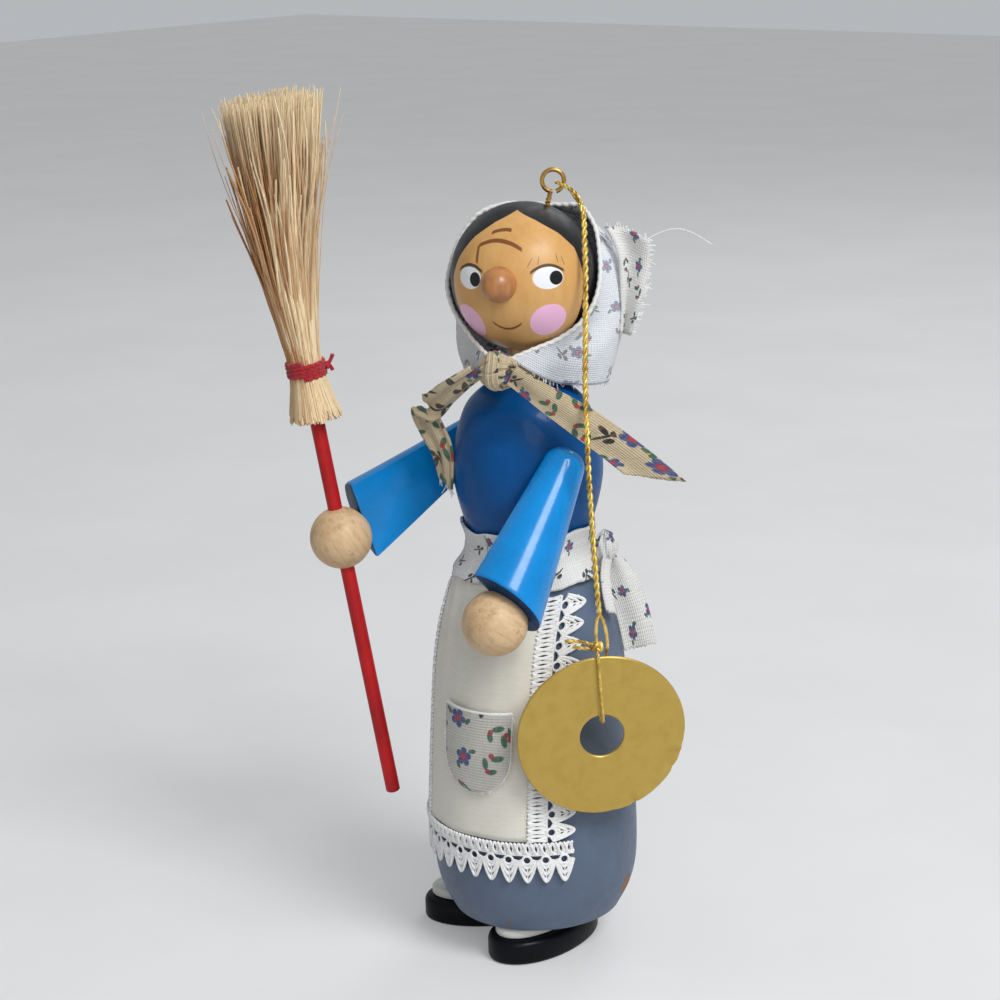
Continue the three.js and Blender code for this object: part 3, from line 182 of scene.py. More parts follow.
# Apron
BAND_Z = (54.7, 60.7)
BAND_OVERLAP = 0.7  # down over the apron's top
APRON_Z = (54.4, 19.7)
APRON_HALF = 9.1
APRON_LIFT = 0.55  # of the cloth's middle from the skirt
LACE_PITCH = 2.55
LACE_RUNG = 1.13
LACE_WIDTH = 6.2
HEM_LACE_WIDTH = 5.6
LACE_VALLEY = 3.9  # from the cloth to between two scallops
HEM_SCALLOP = 2.3
LACE_THREAD = 0.17  # radius of the edge's and the eyelets' thread
LACE_LADDER = 0.2
LACE_SPOKE = 0.11
LACE_EYELET = 0.6
LACE_LOOPS = ((1.0, 0.24), (0.7, 0.2), (0.42, 0.18))  # reach and thread radius of each scallop's loops
POCKET_TURN = 7
POCKET_Z = (37.8, 26.4)
POCKET_WIDTH = 10.6
POCKET_LIFT = 1.35
TIE_TURN = 113
TIE_KNOT_SIZE = (1.9, 1.5, 2.1)

# Screw eye, cord and tag
EYE_FOOT = (2.5, 2.1)
EYE_TILT = 14
EYE_TURN = 40
EYE_RING = 1.45
EYE_WIRE = 0.3
EYE_SHANK = 1.9
CORD_ROUTE = [
    (7.4, 2.9, 104.2),
    (8.6, 2.0, 102.9),
    (10.3, 0.0, 99.3),
    (11.2, -1.1, 95.6),
    (11.8, -2.0, 91.2),
    (12.5, -3.0, 87.4),
    (14.1, -5.2, 82.7),
    (15.9, -7.4, 78.1),
    (16.6, -8.1, 73.1),
    (17.1, -8.4, 68.0),
    (17.4, -8.3, 62.0),
    (17.7, -8.0, 55.9),
    (18.0, -7.6, 49.5),
]
STRAND_RADIUS = 0.22
STRAND_OFFSET = 0.2
STRAND_PARTING = 0.7  # of each strand from the cord's middle, over the knot
PARTING_Z = (53.4, 51.2)
CORD_TWIST = 2.4  # millimetres to each turn
LOOP_TWINE = (0.13, 1.5, 0.15)  # the strands' offset, pitch and radius
END_TWINE = (0.13, 1.6, 0.15)
THREAD_TWINE = (0.11, 1.3, 0.14)
TREFOIL = (0.19, 0.42)  # size and depth of the cord's knot
EYE_LOOP = [
    (2.9, -1.4, 2.7),
    (1.7, -0.6, 1.8),
    (0.8, -0.25, 0.85),
    (0.45, -0.2, 0.0),
    (0.85, -0.45, -0.8),
    (1.8, -0.9, -0.8),
    (2.5, -1.5, 0.2),
    (2.8, -2.0, 1.5),
]
CORD_KNOT = (18.05, -7.5, 48.1)
TAG_RADIUS = 11.4
TAG_HOLE = 3.0
TAG_THICKNESS = 0.5
TAG_DROP = 12.8
TAG_TURN = 50
TAG_TILT = 5
TAG_SEED = 7

# Camera: looks from this azimuth and elevation, and a target on the axis at the waist lands on a chosen pixel
VIEW_AZIMUTH = 40
VIEW_ELEVATION = 15
VIEW_ROLL = 1.4
VIEW_DISTANCE = 330
VIEW_FOCUS = 2409  # focal length in pixels of the 1000-pixel frame
VIEW_TARGET = (0, 0, 55)
VIEW_TARGET_PIXEL = (530, 560)
IMAGE_SIZE = 1000
SENSOR = 36.0


# Camera

def direction(azimuth, elevation):
    """From the figure towards a place at an azimuth and elevation in radians."""
    level = math.cos(elevation)
    return Vector((math.sin(azimuth) * level, -math.cos(azimuth) * level, math.sin(elevation)))


def make_camera():
    azimuth, elevation, roll = (math.radians(a) for a in (VIEW_AZIMUTH, VIEW_ELEVATION, VIEW_ROLL))
    back = direction(azimuth, elevation)
    level = Vector((math.cos(azimuth), math.sin(azimuth), 0))
    above = back.cross(level)
    right = level * math.cos(roll) - above * math.sin(roll)
    up = level * math.sin(roll) + above * math.cos(roll)
    across = (VIEW_TARGET_PIXEL[0] - IMAGE_SIZE / 2) / VIEW_FOCUS
    down = (VIEW_TARGET_PIXEL[1] - IMAGE_SIZE / 2) / VIEW_FOCUS
    eye = Vector(VIEW_TARGET) - (right * across - up * down - back) * VIEW_DISTANCE
    data = bpy.data.cameras.new("camera")
    data.sensor_width = SENSOR
    data.lens = VIEW_FOCUS / IMAGE_SIZE * SENSOR
    data.clip_start = 0.01
    camera = bpy.data.objects.new("camera", data)
    turn = Matrix((right, up, back)).transposed()
    camera.matrix_world = Matrix.Translation(eye * MM) @ turn.to_4x4()
    bpy.context.scene.collection.objects.link(camera)
    bpy.context.scene.camera = camera


make_camera()


# Small geometry tools

def lerp(a, b, t):
    return a + (b - a) * t


def smoothstep(low, high, x):
    t = min(1, max(0, (x - low) / (high - low)))
    return t * t * (3 - 2 * t)


def spread(a, b, count):
    return [lerp(a, b, k / count) for k in range(count + 1)]


def around(radius, turn, z):
    """A place off the turning axis, turned in radians from the front to the figure's left."""
    return Vector((radius * math.sin(turn), -radius * math.cos(turn), z))


def spline(points, count):
    """Catmull-Rom curve through the points, as count + 1 vectors."""
    points = [Vector(p) for p in points]
    last = len(points) - 1
    found = []
    for k in range(count + 1):
        place = k / count * last
        i = min(int(place), last - 1)
        t = place - i
        a, b, c, d = (points[min(max(j, 0), last)] for j in (i - 1, i, i + 1, i + 2))
        ends = (c - a) * 0.5, (d - b) * 0.5
        found.append(
            (2 * b - 2 * c + ends[0] + ends[1]) * t ** 3
            + (-3 * b + 3 * c - 2 * ends[0] - ends[1]) * t ** 2
            + ends[0] * t
            + b
        )
    return found


def outline_radius(outline, z):
    """Radius of a turned outline, a list of 2D vectors, at a height."""
    for low, high in zip(outline, outline[1:]):
        if z <= high.y:
            return lerp(low.x, high.x, max(0, (z - low.y) / (high.y - low.y)))
    return outline[-1].x


SKIRT = spline(SKIRT_OUTLINE, 48)
TORSO = spline(TORSO_OUTLINE, 32)


def body_radius(z):
    return outline_radius(SKIRT if z < TORSO[0].y else TORSO, z)


class Form:
    """Points in millimetres, faces and texture places of one piece under construction."""

    def __init__(self):
        self.points = []
        self.faces = []
        self.places = []

    def grid(self, rows, closed=False, places=None):
        """Quads over rows of points; a closed grid joins the last column to the first."""
        start, width = len(self.points), len(rows[0])
        for i, row in enumerate(rows):
            self.points += [Vector(p) for p in row]
            for j in range(width):
                self.places.append(places(i, j) if places else (0.0, 0.0))
        for i in range(len(rows) - 1):
            for j in range(width if closed else width - 1):
                a = start + i * width + j
                b = start + i * width + (j + 1) % width
                self.faces.append((a, b, b + width, a + width))
        return start

    def fan(self, ring, middle, flip=False):
        tip = len(self.points)
        self.points.append(Vector(middle))
        self.places.append((0.0, 0.0))
        for a, b in zip(ring, ring[1:] + ring[:1]):
            self.faces.append((b, a, tip) if flip else (a, b, tip))

    def rings(self, rings):
        """Closed rings of points in a row, with a fan over both ends."""
        start, width = self.grid(rings, closed=True), len(rings[0])
        first = [start + j for j in range(width)]
        last = [start + (len(rings) - 1) * width + j for j in range(width)]
        self.fan(first, sum(rings[0], Vector()) / width, flip=True)
        self.fan(last, sum(rings[-1], Vector()) / width)

    def tube(self, path, radius, sides=8):
        """Tube along points; radius is a number or a function of the share of the way."""
        path = [Vector(p) for p in path]
        ahead = (path[1] - path[0]).normalized()
        side = ahead.orthogonal().normalized()
        rings = []
        for i, point in enumerate(path):
            ahead = (path[min(i + 1, len(path) - 1)] - path[max(i - 1, 0)]).normalized()
            side = (side - ahead * side.dot(ahead)).normalized()
            other = ahead.cross(side)
            size = radius(i / (len(path) - 1)) if callable(radius) else radius
            rings.append([
                point + (side * math.cos(k * TURN / sides) + other * math.sin(k * TURN / sides)) * size
                for k in range(sides)
            ])
        self.rings(rings)

    def lathe(self, outline, sides):
        """Turned form about Z from (radius, height) pairs, closed at both ends."""
        self.rings([[around(r, k * TURN / sides, z) for k in range(sides)] for r, z in outline])

    def ball(self, middle, size, across, down, shape=None):
        """Ball stretched to a size on each axis; shape swells it by turn and tilt."""
        rows = []
        for i in range(1, down):
            tilt = math.pi * i / down
            row = []
            for j in range(across):
                turn = TURN * j / across
                out = around(math.sin(tilt), turn, -math.cos(tilt))
                grow = shape(turn, tilt) if shape else 1
                row.append(Vector(middle) + Vector([o * s for o, s in zip(out, size)]) * grow)
            rows.append(row)
        self.rings(rows)

    def moved(self, matrix):
        self.points = [matrix @ p for p in self.points]
        return self

    def piece(
        self, name, slot, material, replaces=(), thickness=0.0, smooth_angle=50, at=None, body="figure"
    ):
        """The finished object: rides on its body, wears its material and stands for its nodes."""
        mesh = bpy.data.meshes.new(name)
        mesh.from_pydata([p * MM for p in self.points], [], self.faces)
        layer = mesh.uv_layers.new(name="cloth")
        for loop in mesh.loops:
            layer.data[loop.index].uv = self.places[loop.vertex_index]
        mesh.materials.append(material)
        mesh.shade_smooth()
        mesh.set_sharp_from_angle(angle=math.radians(smooth_angle))
        made = bpy.data.objects.new(name, mesh)
        bpy.context.scene.collection.objects.link(made)
        if thickness:
            solid = made.modifiers.new("thickness", "SOLIDIFY")
            solid.thickness = thickness * MM
            solid.offset = 0
            solid.use_even_offset = True
        if at:
            made.matrix_world = Matrix.Translation(at.translation * MM) @ at.to_3x3().to_4x4()
        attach(made, body)
        if replaces:
            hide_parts(*replaces)
        return made


# Shader tools

SHADER_SOCKETS = {"specular_ior_level": "Specular IOR Level"}


class Graph:
    """Nodes of a material or world, made by short calls that return sockets."""

    def __init__(self, owner):
        owner.use_nodes = True
        self.owner = owner
        self.tree = owner.node_tree
        self.shader = self.tree.nodes.get("Principled BSDF")

    def link(self, value, socket):
        if isinstance(value, bpy.types.NodeSocket):
            self.tree.links.new(value, socket)
        elif value is not None:
            socket.default_value = value

    def node(self, kind, inputs=(), **settings):
        made = self.tree.nodes.new(kind)
        for key, value in settings.items():
            setattr(made, key, value)
        for key, value in dict(inputs).items():
            self.link(value, made.inputs[key])
        return made

    def math(self, operation, a, b=None):
        inputs = {0: a} if b is None else {0: a, 1: b}
        return self.node("ShaderNodeMath", inputs, operation=operation).outputs[0]

    def vector(self, operation, a, b):
        return self.node("ShaderNodeVectorMath", {0: a, 1: b}, operation=operation).outputs

    def add(self, *values):
        total = values[0]
        for value in values[1:]:
            total = self.math("ADD", total, value)
        return total

    def times(self, a, b):
        return self.math("MULTIPLY", a, b)

    def less(self, a, b):
        return self.math("SUBTRACT", a, b)

    def ramp(self, value, low, high, start=0.0, end=1.0):
        """Smooth step from start to end while value goes from low to high."""
        inputs = {"Value": value, "From Min": low, "From Max": high, "To Min": start, "To Max": end}
        return self.node("ShaderNodeMapRange", inputs, interpolation_type="SMOOTHSTEP").outputs[0]

    def mix(self, share, a, b):
        inputs = {0: share, 6: colour(a), 7: colour(b)}
        return self.node("ShaderNodeMix", inputs, data_type="RGBA").outputs[2]

    def wash(self, under, over, share, value, low, high):
        """A share of one colour laid over another while value goes from low to high."""
        return self.mix(self.times(self.ramp(value, low, high), share), under, over)

    def between(self, value, low, high):
        """1 between two soft edges, each given as where it starts and ends."""
        return self.times(self.ramp(value, *low), self.ramp(value, *high))

    def place(self):
        """The piece's own coordinates, in millimetres."""
        own = self.node("ShaderNodeTexCoord").outputs["Object"]
        return self.node("ShaderNodeVectorMath", {0: own, "Scale": 1 / MM}, operation="SCALE").outputs[0]

    def cloth_place(self):
        return self.node("ShaderNodeUVMap", uv_map="cloth").outputs[0]

    def stretched(self, vector, scale):
        return self.vector("MULTIPLY", vector, scale)[0]

    def split(self, vector):
        return self.node("ShaderNodeSeparateXYZ", {0: vector}).outputs

    def noise(self, vector, scale, detail=3.0, roughness=0.55):
        inputs = {"Vector": vector, "Scale": scale, "Detail": detail, "Roughness": roughness}
        return self.node("ShaderNodeTexNoise", inputs).outputs[0]

    def bump(self, height, distance, strength=1.0):
        inputs = {"Height": height, "Distance": distance * MM, "Strength": strength}
        self.link(self.node("ShaderNodeBump", inputs).outputs[0], self.shader.inputs["Normal"])

    def finish(self, colour_value, roughness, **extra):
        self.link(colour(colour_value), self.shader.inputs["Base Color"])
        self.link(roughness, self.shader.inputs["Roughness"])
        for key, value in extra.items():
            socket = SHADER_SOCKETS.get(key, key.replace("_", " ").title())
            self.link(colour(value), self.shader.inputs[socket])
        return self.owner


def linear(channel):
    channel /= 255
    return channel / 12.92 if channel <= 0.04045 else ((channel + 0.055) / 1.055) ** 2.4


def colour(value):
    """Display values from 0 to 255 as the linear colour that a socket takes; other values pass."""
    if isinstance(value, tuple) and len(value) == 3:
        return tuple(linear(c) for c in value) + (1.0,)
    return value


def toned(base, by):
    """A darker or lighter tone of a colour in display values."""
    return tuple(min(255, c * by) for c in base)


def largest(g, masks):
    found = masks[0]
    for mask in masks[1:]:
        found = g.math("MAXIMUM", found, mask)
    return found


# Materials

def painted_wood(name, base, roughness, coat, chip=None, chip_level=0.74, wear=0.1, gloss=0.5, spots=()):
    """Paint on turned wood: uneven coats, fine turning lines and, where asked, chips down to the wood."""
    g = Graph(bpy.data.materials.new(name))
    mm = g.place()
    cloud = g.noise(mm, 0.1, 4)
    lines = g.noise(g.stretched(mm, (0.25, 0.25, 6.0)), 0.7, 3)
    fine = g.noise(mm, 1.6, 4)
    darker = toned(base, 1 - wear)
    lighter = tuple(min(255, c * (1 + wear * 0.6) + 2) for c in base)
    tone = g.mix(g.ramp(cloud, 0.35, 0.68), darker, lighter)
    tone = g.wash(tone, lighter, 0.14, lines, 0.5, 0.75)
    tone = g.wash(tone, lighter, 0.25, fine, 0.6, 0.75)
    rough = g.ramp(g.noise(mm, 0.9, 4), 0.3, 0.7, roughness - 0.05, roughness + 0.08)
    height = g.add(g.times(lines, 0.5), g.times(g.noise(mm, 2.2, 2), 0.35))
    if chip:
        speck = g.noise(mm, 0.75, 5, 0.62)
        bare = g.ramp(speck, chip_level, chip_level + 0.02)
        for middle, size in spots:
            apart = g.vector("DISTANCE", mm, middle)["Value"]
            patchy = g.add(g.times(apart, 1 / size), g.times(g.less(g.noise(mm, 1.1, 4), 0.5), 1.6))
            bare = g.math("MAXIMUM", bare, g.ramp(patchy, 1.06, 0.94))
        tone = g.mix(bare, tone, chip)
        rough = g.add(rough, g.times(bare, 0.25))
        height = g.less(height, g.times(bare, 0.8))
    g.bump(height, 0.05, 0.5)
    return g.finish(tone, rough, coat_weight=coat, coat_roughness=0.12, specular_ior_level=gloss)


GRAIN = (1.0, 1.0, 0.12)  # stretch of the noise across and along the wood
FINE_GRAIN = (2.0, 2.0, 0.48)


def grained_wood(name, base, dark, roughness, coat, pits=0.0):
    """Bare or varnished wood with long grain, a slight mottle and, where asked, open pits."""
    g = Graph(bpy.data.materials.new(name))
    mm = g.place()
    grain = g.noise(g.stretched(mm, GRAIN), 1.1, 5, 0.6)
    mottle = g.noise(mm, 0.22, 3)
    fine = g.noise(g.stretched(mm, FINE_GRAIN), 2.0, 4)
    tone = g.wash(base, dark, 0.7, grain, 0.38, 0.7)
    tone = g.wash(tone, toned(base, 1.06), 0.3, mottle, 0.4, 0.7)
    hollow = g.times(g.ramp(g.noise(g.stretched(mm, (1.0, 1.0, 0.45)), 1.5, 3), 0.6, 0.7), pits)
    tone = g.mix(hollow, tone, toned(dark, 0.82))
    g.bump(g.less(g.add(g.times(grain, 0.5), g.times(fine, 0.5)), g.times(hollow, 1.4)), 0.09, 0.7)
    rough = g.ramp(fine, 0.3, 0.7, roughness - 0.05, roughness + 0.1)
    return g.finish(tone, rough, coat_weight=coat, coat_roughness=0.15)


def weave(g, place, pitch, depth, cross=0.8):
    """Height and shade of a plain weave in the cloth's own millimetres."""
    u, v, _ = g.split(place)
    warp = g.math("SINE", g.times(u, TURN / pitch))
    weft = g.math("SINE", g.times(v, TURN / pitch))
    slub = g.noise(g.stretched(place, (0.5, 3.0, 1.0)), 0.9, 3)
    height = g.add(g.times(warp, depth), g.times(weft, depth * cross), g.times(slub, 0.8))
    return height, slub


def plain_cloth(name, base, shade, pitch):
    g = Graph(bpy.data.materials.new(name))
    place = g.cloth_place()
    height, slub = weave(g, place, pitch, 0.4)
    stain = g.noise(g.place(), 0.12, 3)
    tone = g.wash(base, shade, 0.5, slub, 0.35, 0.7)
    tone = g.wash(tone, toned(shade, 0.94), 0.4, stain, 0.45, 0.75)
    # Painted shade in the hollows of the weave: slightly darker where the threads lie low.
    tone = g.wash(tone, toned(shade, 0.85), 0.05, height, 0.4, -0.6)
    g.bump(height, 0.02, 0.5)
    return g.finish(tone, 0.85, sheen_weight=0.25, sheen_roughness=0.5)


BLOSSOM_BLUE = (46, 72, 128)
BLOSSOM_RED = (168, 44, 62)
LEAF_GREEN = (44, 96, 74)
TWIG_BLACK = (24, 24, 28)
# Shapes of the print, each of ellipses with a middle and a size, in shares of the print's own size
PETAL_OUT = 0.42
PETAL_TURNS = [k * TURN / 5 for k in range(5)]
PETALS = [((PETAL_OUT * math.cos(t), PETAL_OUT * math.sin(t)), (0.26, 0.26)) for t in PETAL_TURNS]
HEART = [((0, 0), (0.27, 0.27))]
SIDE_LEAVES = [((0.85, 0.3), (0.3, 0.16)), ((-0.7, -0.5), (0.17, 0.28))]
LEAVES = [((0.5, 0.35), (0.46, 0.22)), ((-0.42, 0.1), (0.22, 0.42)), ((0.05, -0.55), (0.36, 0.2))]
BERRIES = [((0.1, 0.6), (0.2, 0.2)), ((-0.3, -0.45), (0.19, 0.19))]
TWIG = [
    ((0, -0.1), (0.1, 0.8)),
    ((0.42, 0.3), (0.4, 0.2)),
    ((-0.36, 0.12), (0.2, 0.36)),
    ((0.02, 0.78), (0.22, 0.32)),
]
BLOSSOM_SHARE = (0.0, 0.36)  # range of the cells' own number that gives each kind
BERRY_SHARE = (0.36, 0.55)
TWIG_SHARE = (0.55, 0.92)
PRINTS = [
    (SIDE_LEAVES, BLOSSOM_SHARE, LEAF_GREEN),
    (PETALS, BLOSSOM_SHARE, BLOSSOM_BLUE),
    (HEART, BLOSSOM_SHARE, BLOSSOM_RED),
    (LEAVES, BERRY_SHARE, LEAF_GREEN),
    (BERRIES, BERRY_SHARE, BLOSSOM_RED),
    (TWIG, TWIG_SHARE, TWIG_BLACK),
]


def blob(g, x, y, middle, size, soft=0.16):
    """1 inside an ellipse of the cloth, 0 outside."""
    across = g.times(g.less(x, middle[0]), 1 / size[0])
    along = g.times(g.less(y, middle[1]), 1 / size[1])
    reach = g.math("SQRT", g.add(g.times(across, across), g.times(along, along)))
    return g.ramp(reach, 1 + soft, 1 - soft)


def printed_cloth(name, base, shade, pitch=0.36, cell=3.9, size=1.45, rib_shade=0.25, cross=0.8, ink_level=1.0):
    """Cotton with a small scattered print: a blossom, leafy berries or a twig to most cells."""
    g = Graph(bpy.data.materials.new(name))
    place = g.cloth_place()
    height, slub = weave(g, place, pitch, 0.5, cross)
    tone = g.wash(base, shade, 0.6, slub, 0.3, 0.7)
    tone = g.wash(tone, toned(shade, 0.9), 0.3, g.noise(g.place(), 0.14, 3), 0.45, 0.75)
    # Painted shade in the hollows of the weave: darker where the threads lie low.
    tone = g.wash(tone, toned(shade, 0.72), rib_shade, height, 0.5, -0.5)
    cells = g.node(
        "ShaderNodeTexVoronoi",
        {"Vector": place, "Scale": 1 / cell, "Randomness": 0.72},
        voronoi_dimensions="2D",
    )
    pick, angle, _ = g.split(cells.outputs["Color"])
    inside = g.vector("SUBTRACT", place, cells.outputs["Position"])[0]
    spin = {"Vector": inside, "Angle": g.times(angle, TURN)}
    turned = g.node("ShaderNodeVectorRotate", spin, rotation_type="Z_AXIS")
    x, y, _ = g.split(g.stretched(turned.outputs[0], (1 / size, 1 / size, 1)))
    faded = g.ramp(slub, 0.8, 0.25, 0.78 * ink_level, ink_level)
    for shapes, (low, high), ink in PRINTS:
        mask = largest(g, [blob(g, x, y, *shape) for shape in shapes])
        chosen = g.times(g.math("GREATER_THAN", pick, low), g.math("LESS_THAN", pick, high))
        tone = g.mix(g.times(g.times(mask, chosen), faded), tone, ink)
    g.bump(height, 0.06, 0.8)
    return g.finish(tone, 0.92, sheen_weight=0.2, sheen_roughness=0.5)


def thread_material(name, base, shade):
    g = Graph(bpy.data.materials.new(name))
    mm = g.place()
    fibre = g.noise(mm, 3.5, 4)
    tone = g.mix(g.ramp(fibre, 0.35, 0.7), base, shade)
    g.bump(fibre, 0.06, 0.8)
    return g.finish(tone, 0.9, sheen_weight=0.3, sheen_roughness=0.5)


def straw_material():
    """Straw in many shades: each strand has its own tone, with paler tips and butts; part of each tone is
    painted light and shade, paler on the bundle's lit side and darker on the other.
    """
    g = Graph(bpy.data.materials.new("straw"))
    shade, along, _ = g.split(g.cloth_place())
    streak = g.noise(g.stretched(g.place(), (2.0, 2.0, 0.08)), 1.6, 4)
    tone = g.mix(shade, (176, 120, 64), (248, 228, 188))
    tone = g.wash(tone, (176, 122, 68), 0.4, streak, 0.42, 0.7)
    tone = g.wash(tone, (250, 232, 194), 0.8, along, 0.72, 1.0)
    tone = g.wash(tone, (232, 208, 166), 0.5, along, 0.2, 0.1)
    g.bump(streak, 0.05, 0.5)
    return g.finish(tone, g.ramp(streak, 0.3, 0.7, 0.55, 0.75), sheen_weight=0.1, sheen_roughness=0.5)


def metal_material(name, base, dark, roughness, metallic=1.0, scratch=0.5, uneven=1.0):
    g = Graph(bpy.data.materials.new(name))
    mm = g.place()
    cloud = g.noise(mm, 0.5, 5, 0.6)
    fine = g.noise(g.stretched(mm, (0.6, 4.0, 4.0)), 2.0, 3)
    tone = g.mix(g.ramp(cloud, 0.4, 0.72), base, dark)
    vary = 0.12 * max(uneven, 0.3)
    worn = g.add(cloud, g.times(fine, scratch))
    rough = g.ramp(worn, 0.4, 1.0, roughness - vary, roughness + vary)
    g.bump(g.add(g.times(cloud, 0.4), g.times(fine, 0.3)), 0.03, 0.5 * uneven)
    return g.finish(tone, rough, metallic=metallic)


# The painted face: places on the bead, in millimetres round it from the nose and up from its middle

SKIN = (220, 171, 106)
SKIN_DARK = (192, 136, 72)
HAIR = (12, 12, 14)
EYE_WHITE = (240, 242, 246)
CHEEK = (246, 192, 230)
LINE_BROWN = (112, 58, 26)
LINE_DARK = (40, 28, 24)
HAIR_PEAK = (0.6, 11.9)
HAIR_LEFT = [(-3.8, 9.1), (-6.7, 6.4), (-8.6, 3.3), (-9.6, 0.5)]
HAIR_RIGHT = [(5.5, 9.5), (9.1, 7.0), (11.0, 4.6), (11.6, 0.5)]
EYES = [((5.85, 1.1), (2.15, 1.45)), ((-5.4, 0.95), (2.05, 1.5))]
PUPILS = [((6.95, 1.05), (0.95, 0.92)), ((-4.4, 0.8), (0.9, 0.95))]
CHEEKS = [((6.2, -5.0), (2.85, 2.6)), ((-7.0, -5.5), (2.8, 2.65))]
# Strokes: both ends, the middle, its height and bend, half width and tone
STROKES = [
    ((-2.4, 2.1), -0.1, (-6.1, 0.2), 0.2, LINE_BROWN),
    ((-3.3, 0.5), -0.6, (7.9, -0.09), 0.3, LINE_BROWN),
    ((-4.9, 2.4), -1.5, (6.2, -0.085), 0.31, LINE_BROWN),
    ((3.4, 8.2), 5.8, (2.75, -0.16), 0.2, LINE_DARK),
    ((-7.7, -3.2), -5.4, (2.6, -0.16), 0.22, LINE_DARK),
]
LASHES = [(3.3, 3.0, 0.6), (4.6, 3.3, 0.25), (7.4, 3.4, -0.1), (8.3, 3.0, -0.3)]


def face_material():
    """Varnished bead with its painted face and hair."""
    g = Graph(bpy.data.materials.new("face"))
    mm = g.place()
    x, y, z = g.split(mm)
    around_bead = g.times(g.math("ARCTAN2", x, g.times(y, -1)), HEAD_RADIUS)
    level = g.math("MAXIMUM", g.math("DIVIDE", z, HEAD_RADIUS), -0.999)
    up_bead = g.times(g.math("ARCSINE", g.math("MINIMUM", level, 0.999)), HEAD_RADIUS)
    grain = g.noise(g.stretched(mm, (1.0, 1.0, 0.1)), 0.9, 5, 0.6)
    mottle = g.noise(mm, 0.12, 3)
    tone = g.wash(SKIN, SKIN_DARK, 0.3, grain, 0.4, 0.75)
    tone = g.wash(tone, SKIN_DARK, 0.3, mottle, 0.4, 0.7)
    unsteady = g.times(g.less(g.noise(mm, 0.8, 2), 0.5), 0.35)
    for middle, size in CHEEKS:
        tone = g.mix(g.times(blob(g, around_bead, up_bead, middle, size, 0.03), 0.92), tone, CHEEK)
    for middle, size in EYES:
        tone = g.mix(blob(g, around_bead, up_bead, middle, size, 0.04), tone, EYE_WHITE)
    for middle, size in PUPILS:
        tone = g.mix(blob(g, around_bead, up_bead, middle, size, 0.07), tone, HAIR)
    for (start, end), middle, (top, bend), half, ink in STROKES:
        aside = g.less(around_bead, middle)
        curve = g.add(g.times(g.times(aside, aside), bend), top)
        off = g.math("ABSOLUTE", g.less(g.add(up_bead, g.times(unsteady, 0.4)), curve))
        within = g.between(around_bead, (start - 0.15, start + 0.2), (end + 0.15, end - 0.2))
        tone = g.mix(g.times(g.times(g.ramp(off, half + 0.06, half - 0.06), within), 0.9), tone, ink)
    for foot, height, lean in LASHES:
        leaning = g.times(g.less(up_bead, height), lean)
        aside = g.math("ABSOLUTE", g.less(g.less(around_bead, foot), leaning))
        within = g.between(up_bead, (height - 0.5, height - 0.3), (height + 1.0, height + 0.4))
        tone = g.mix(g.times(g.times(g.ramp(aside, 0.1, 0.04), within), 0.55), tone, LINE_DARK)
    crease = g.math("ABSOLUTE", g.add(around_bead, 4.55, g.times(g.less(up_bead, 4.0), 0.2)))
    inside = g.between(up_bead, (2.7, 3.2), (5.4, 5.0))
    tone = g.mix(g.times(g.times(g.ramp(crease, 0.3, 0.18), inside), 0.85), tone, LINE_BROWN)

    def hair_side(points, sign):
        """Above the straight runs of one side's hairline."""
        runs = []
        for (u0, v0), (u1, v1) in zip([HAIR_PEAK] + points, points):
            slope = (v1 - v0) / (u1 - u0)
            runs.append(g.less(up_bead, g.add(g.times(g.less(around_bead, u0), slope), v0)))
        outside = g.times(g.less(around_bead, points[-1][0]), sign)
        return largest(g, runs + [outside])

    right = hair_side(HAIR_RIGHT, 1)
    left = hair_side(HAIR_LEFT, -1)
    at_right = g.math("GREATER_THAN", around_bead, HAIR_PEAK[0])
    side = g.add(g.times(right, at_right), g.times(left, g.less(1.0, at_right)))
    hair = g.ramp(g.add(side, g.times(unsteady, 0.25)), -0.06, 0.06)
    tone = g.mix(hair, tone, g.mix(g.ramp(g.noise(mm, 0.5, 4), 0.4, 0.75), HAIR, (28, 29, 34)))
    g.bump(g.add(g.times(grain, g.less(1.0, hair)), g.times(g.noise(mm, 0.7, 3), 0.6)), 0.05, 0.5)
    rough = g.ramp(g.noise(mm, 0.6, 4), 0.3, 0.7, 0.3, 0.44)
    rough = g.add(rough, g.times(hair, 0.1))
    return g.finish(tone, rough, coat_weight=0.16, coat_roughness=0.3, specular_ior_level=0.3)


GREY_PAINT = painted_wood(
    "grey_paint", (89, 105, 128), roughness=0.52, coat=0.08,
    chip=(140, 96, 66), chip_level=0.76, wear=0.05,
    spots=[((12.8, 3.7, 9.4), 1.5), ((4.5, -12.0, 6.3), 0.5)],
)
BLUE_PAINT = painted_wood("blue_paint", (2, 78, 142), roughness=0.42, coat=0.14, gloss=0.12)
SLEEVE_PAINT = painted_wood("sleeve_paint", (4, 138, 216), roughness=0.28, coat=0.42, wear=0.06, gloss=0.14)
# Darker blue on the cuffs' end faces is painted shade, since these faces turn away from the lamps.
SLEEVE_END_SHADE = painted_wood("sleeve_end_painted_shade", (4, 52, 94), roughness=0.5, coat=0.1, gloss=0.1)
BLACK_PAINT = painted_wood(
    "black_paint", (8, 10, 14), roughness=0.42, coat=0.1, gloss=0.08, chip=(206, 200, 190)
)
WHITE_PAINT = painted_wood("white_paint", (226, 224, 218), roughness=0.6, coat=0.05, wear=0.05)
RED_PAINT = painted_wood(
    "red_paint", (194, 26, 30), roughness=0.5, coat=0.08, gloss=0.25, chip=(206, 120, 98)
)
NOSE_WOOD = grained_wood("nose_wood", (186, 126, 72), (150, 92, 48), roughness=0.36, coat=0.3)
PALE_WOOD = grained_wood(
    "pale_wood", (218, 187, 146), (188, 148, 102), roughness=0.55, coat=0.08, pits=0.45
)
FACE = face_material()
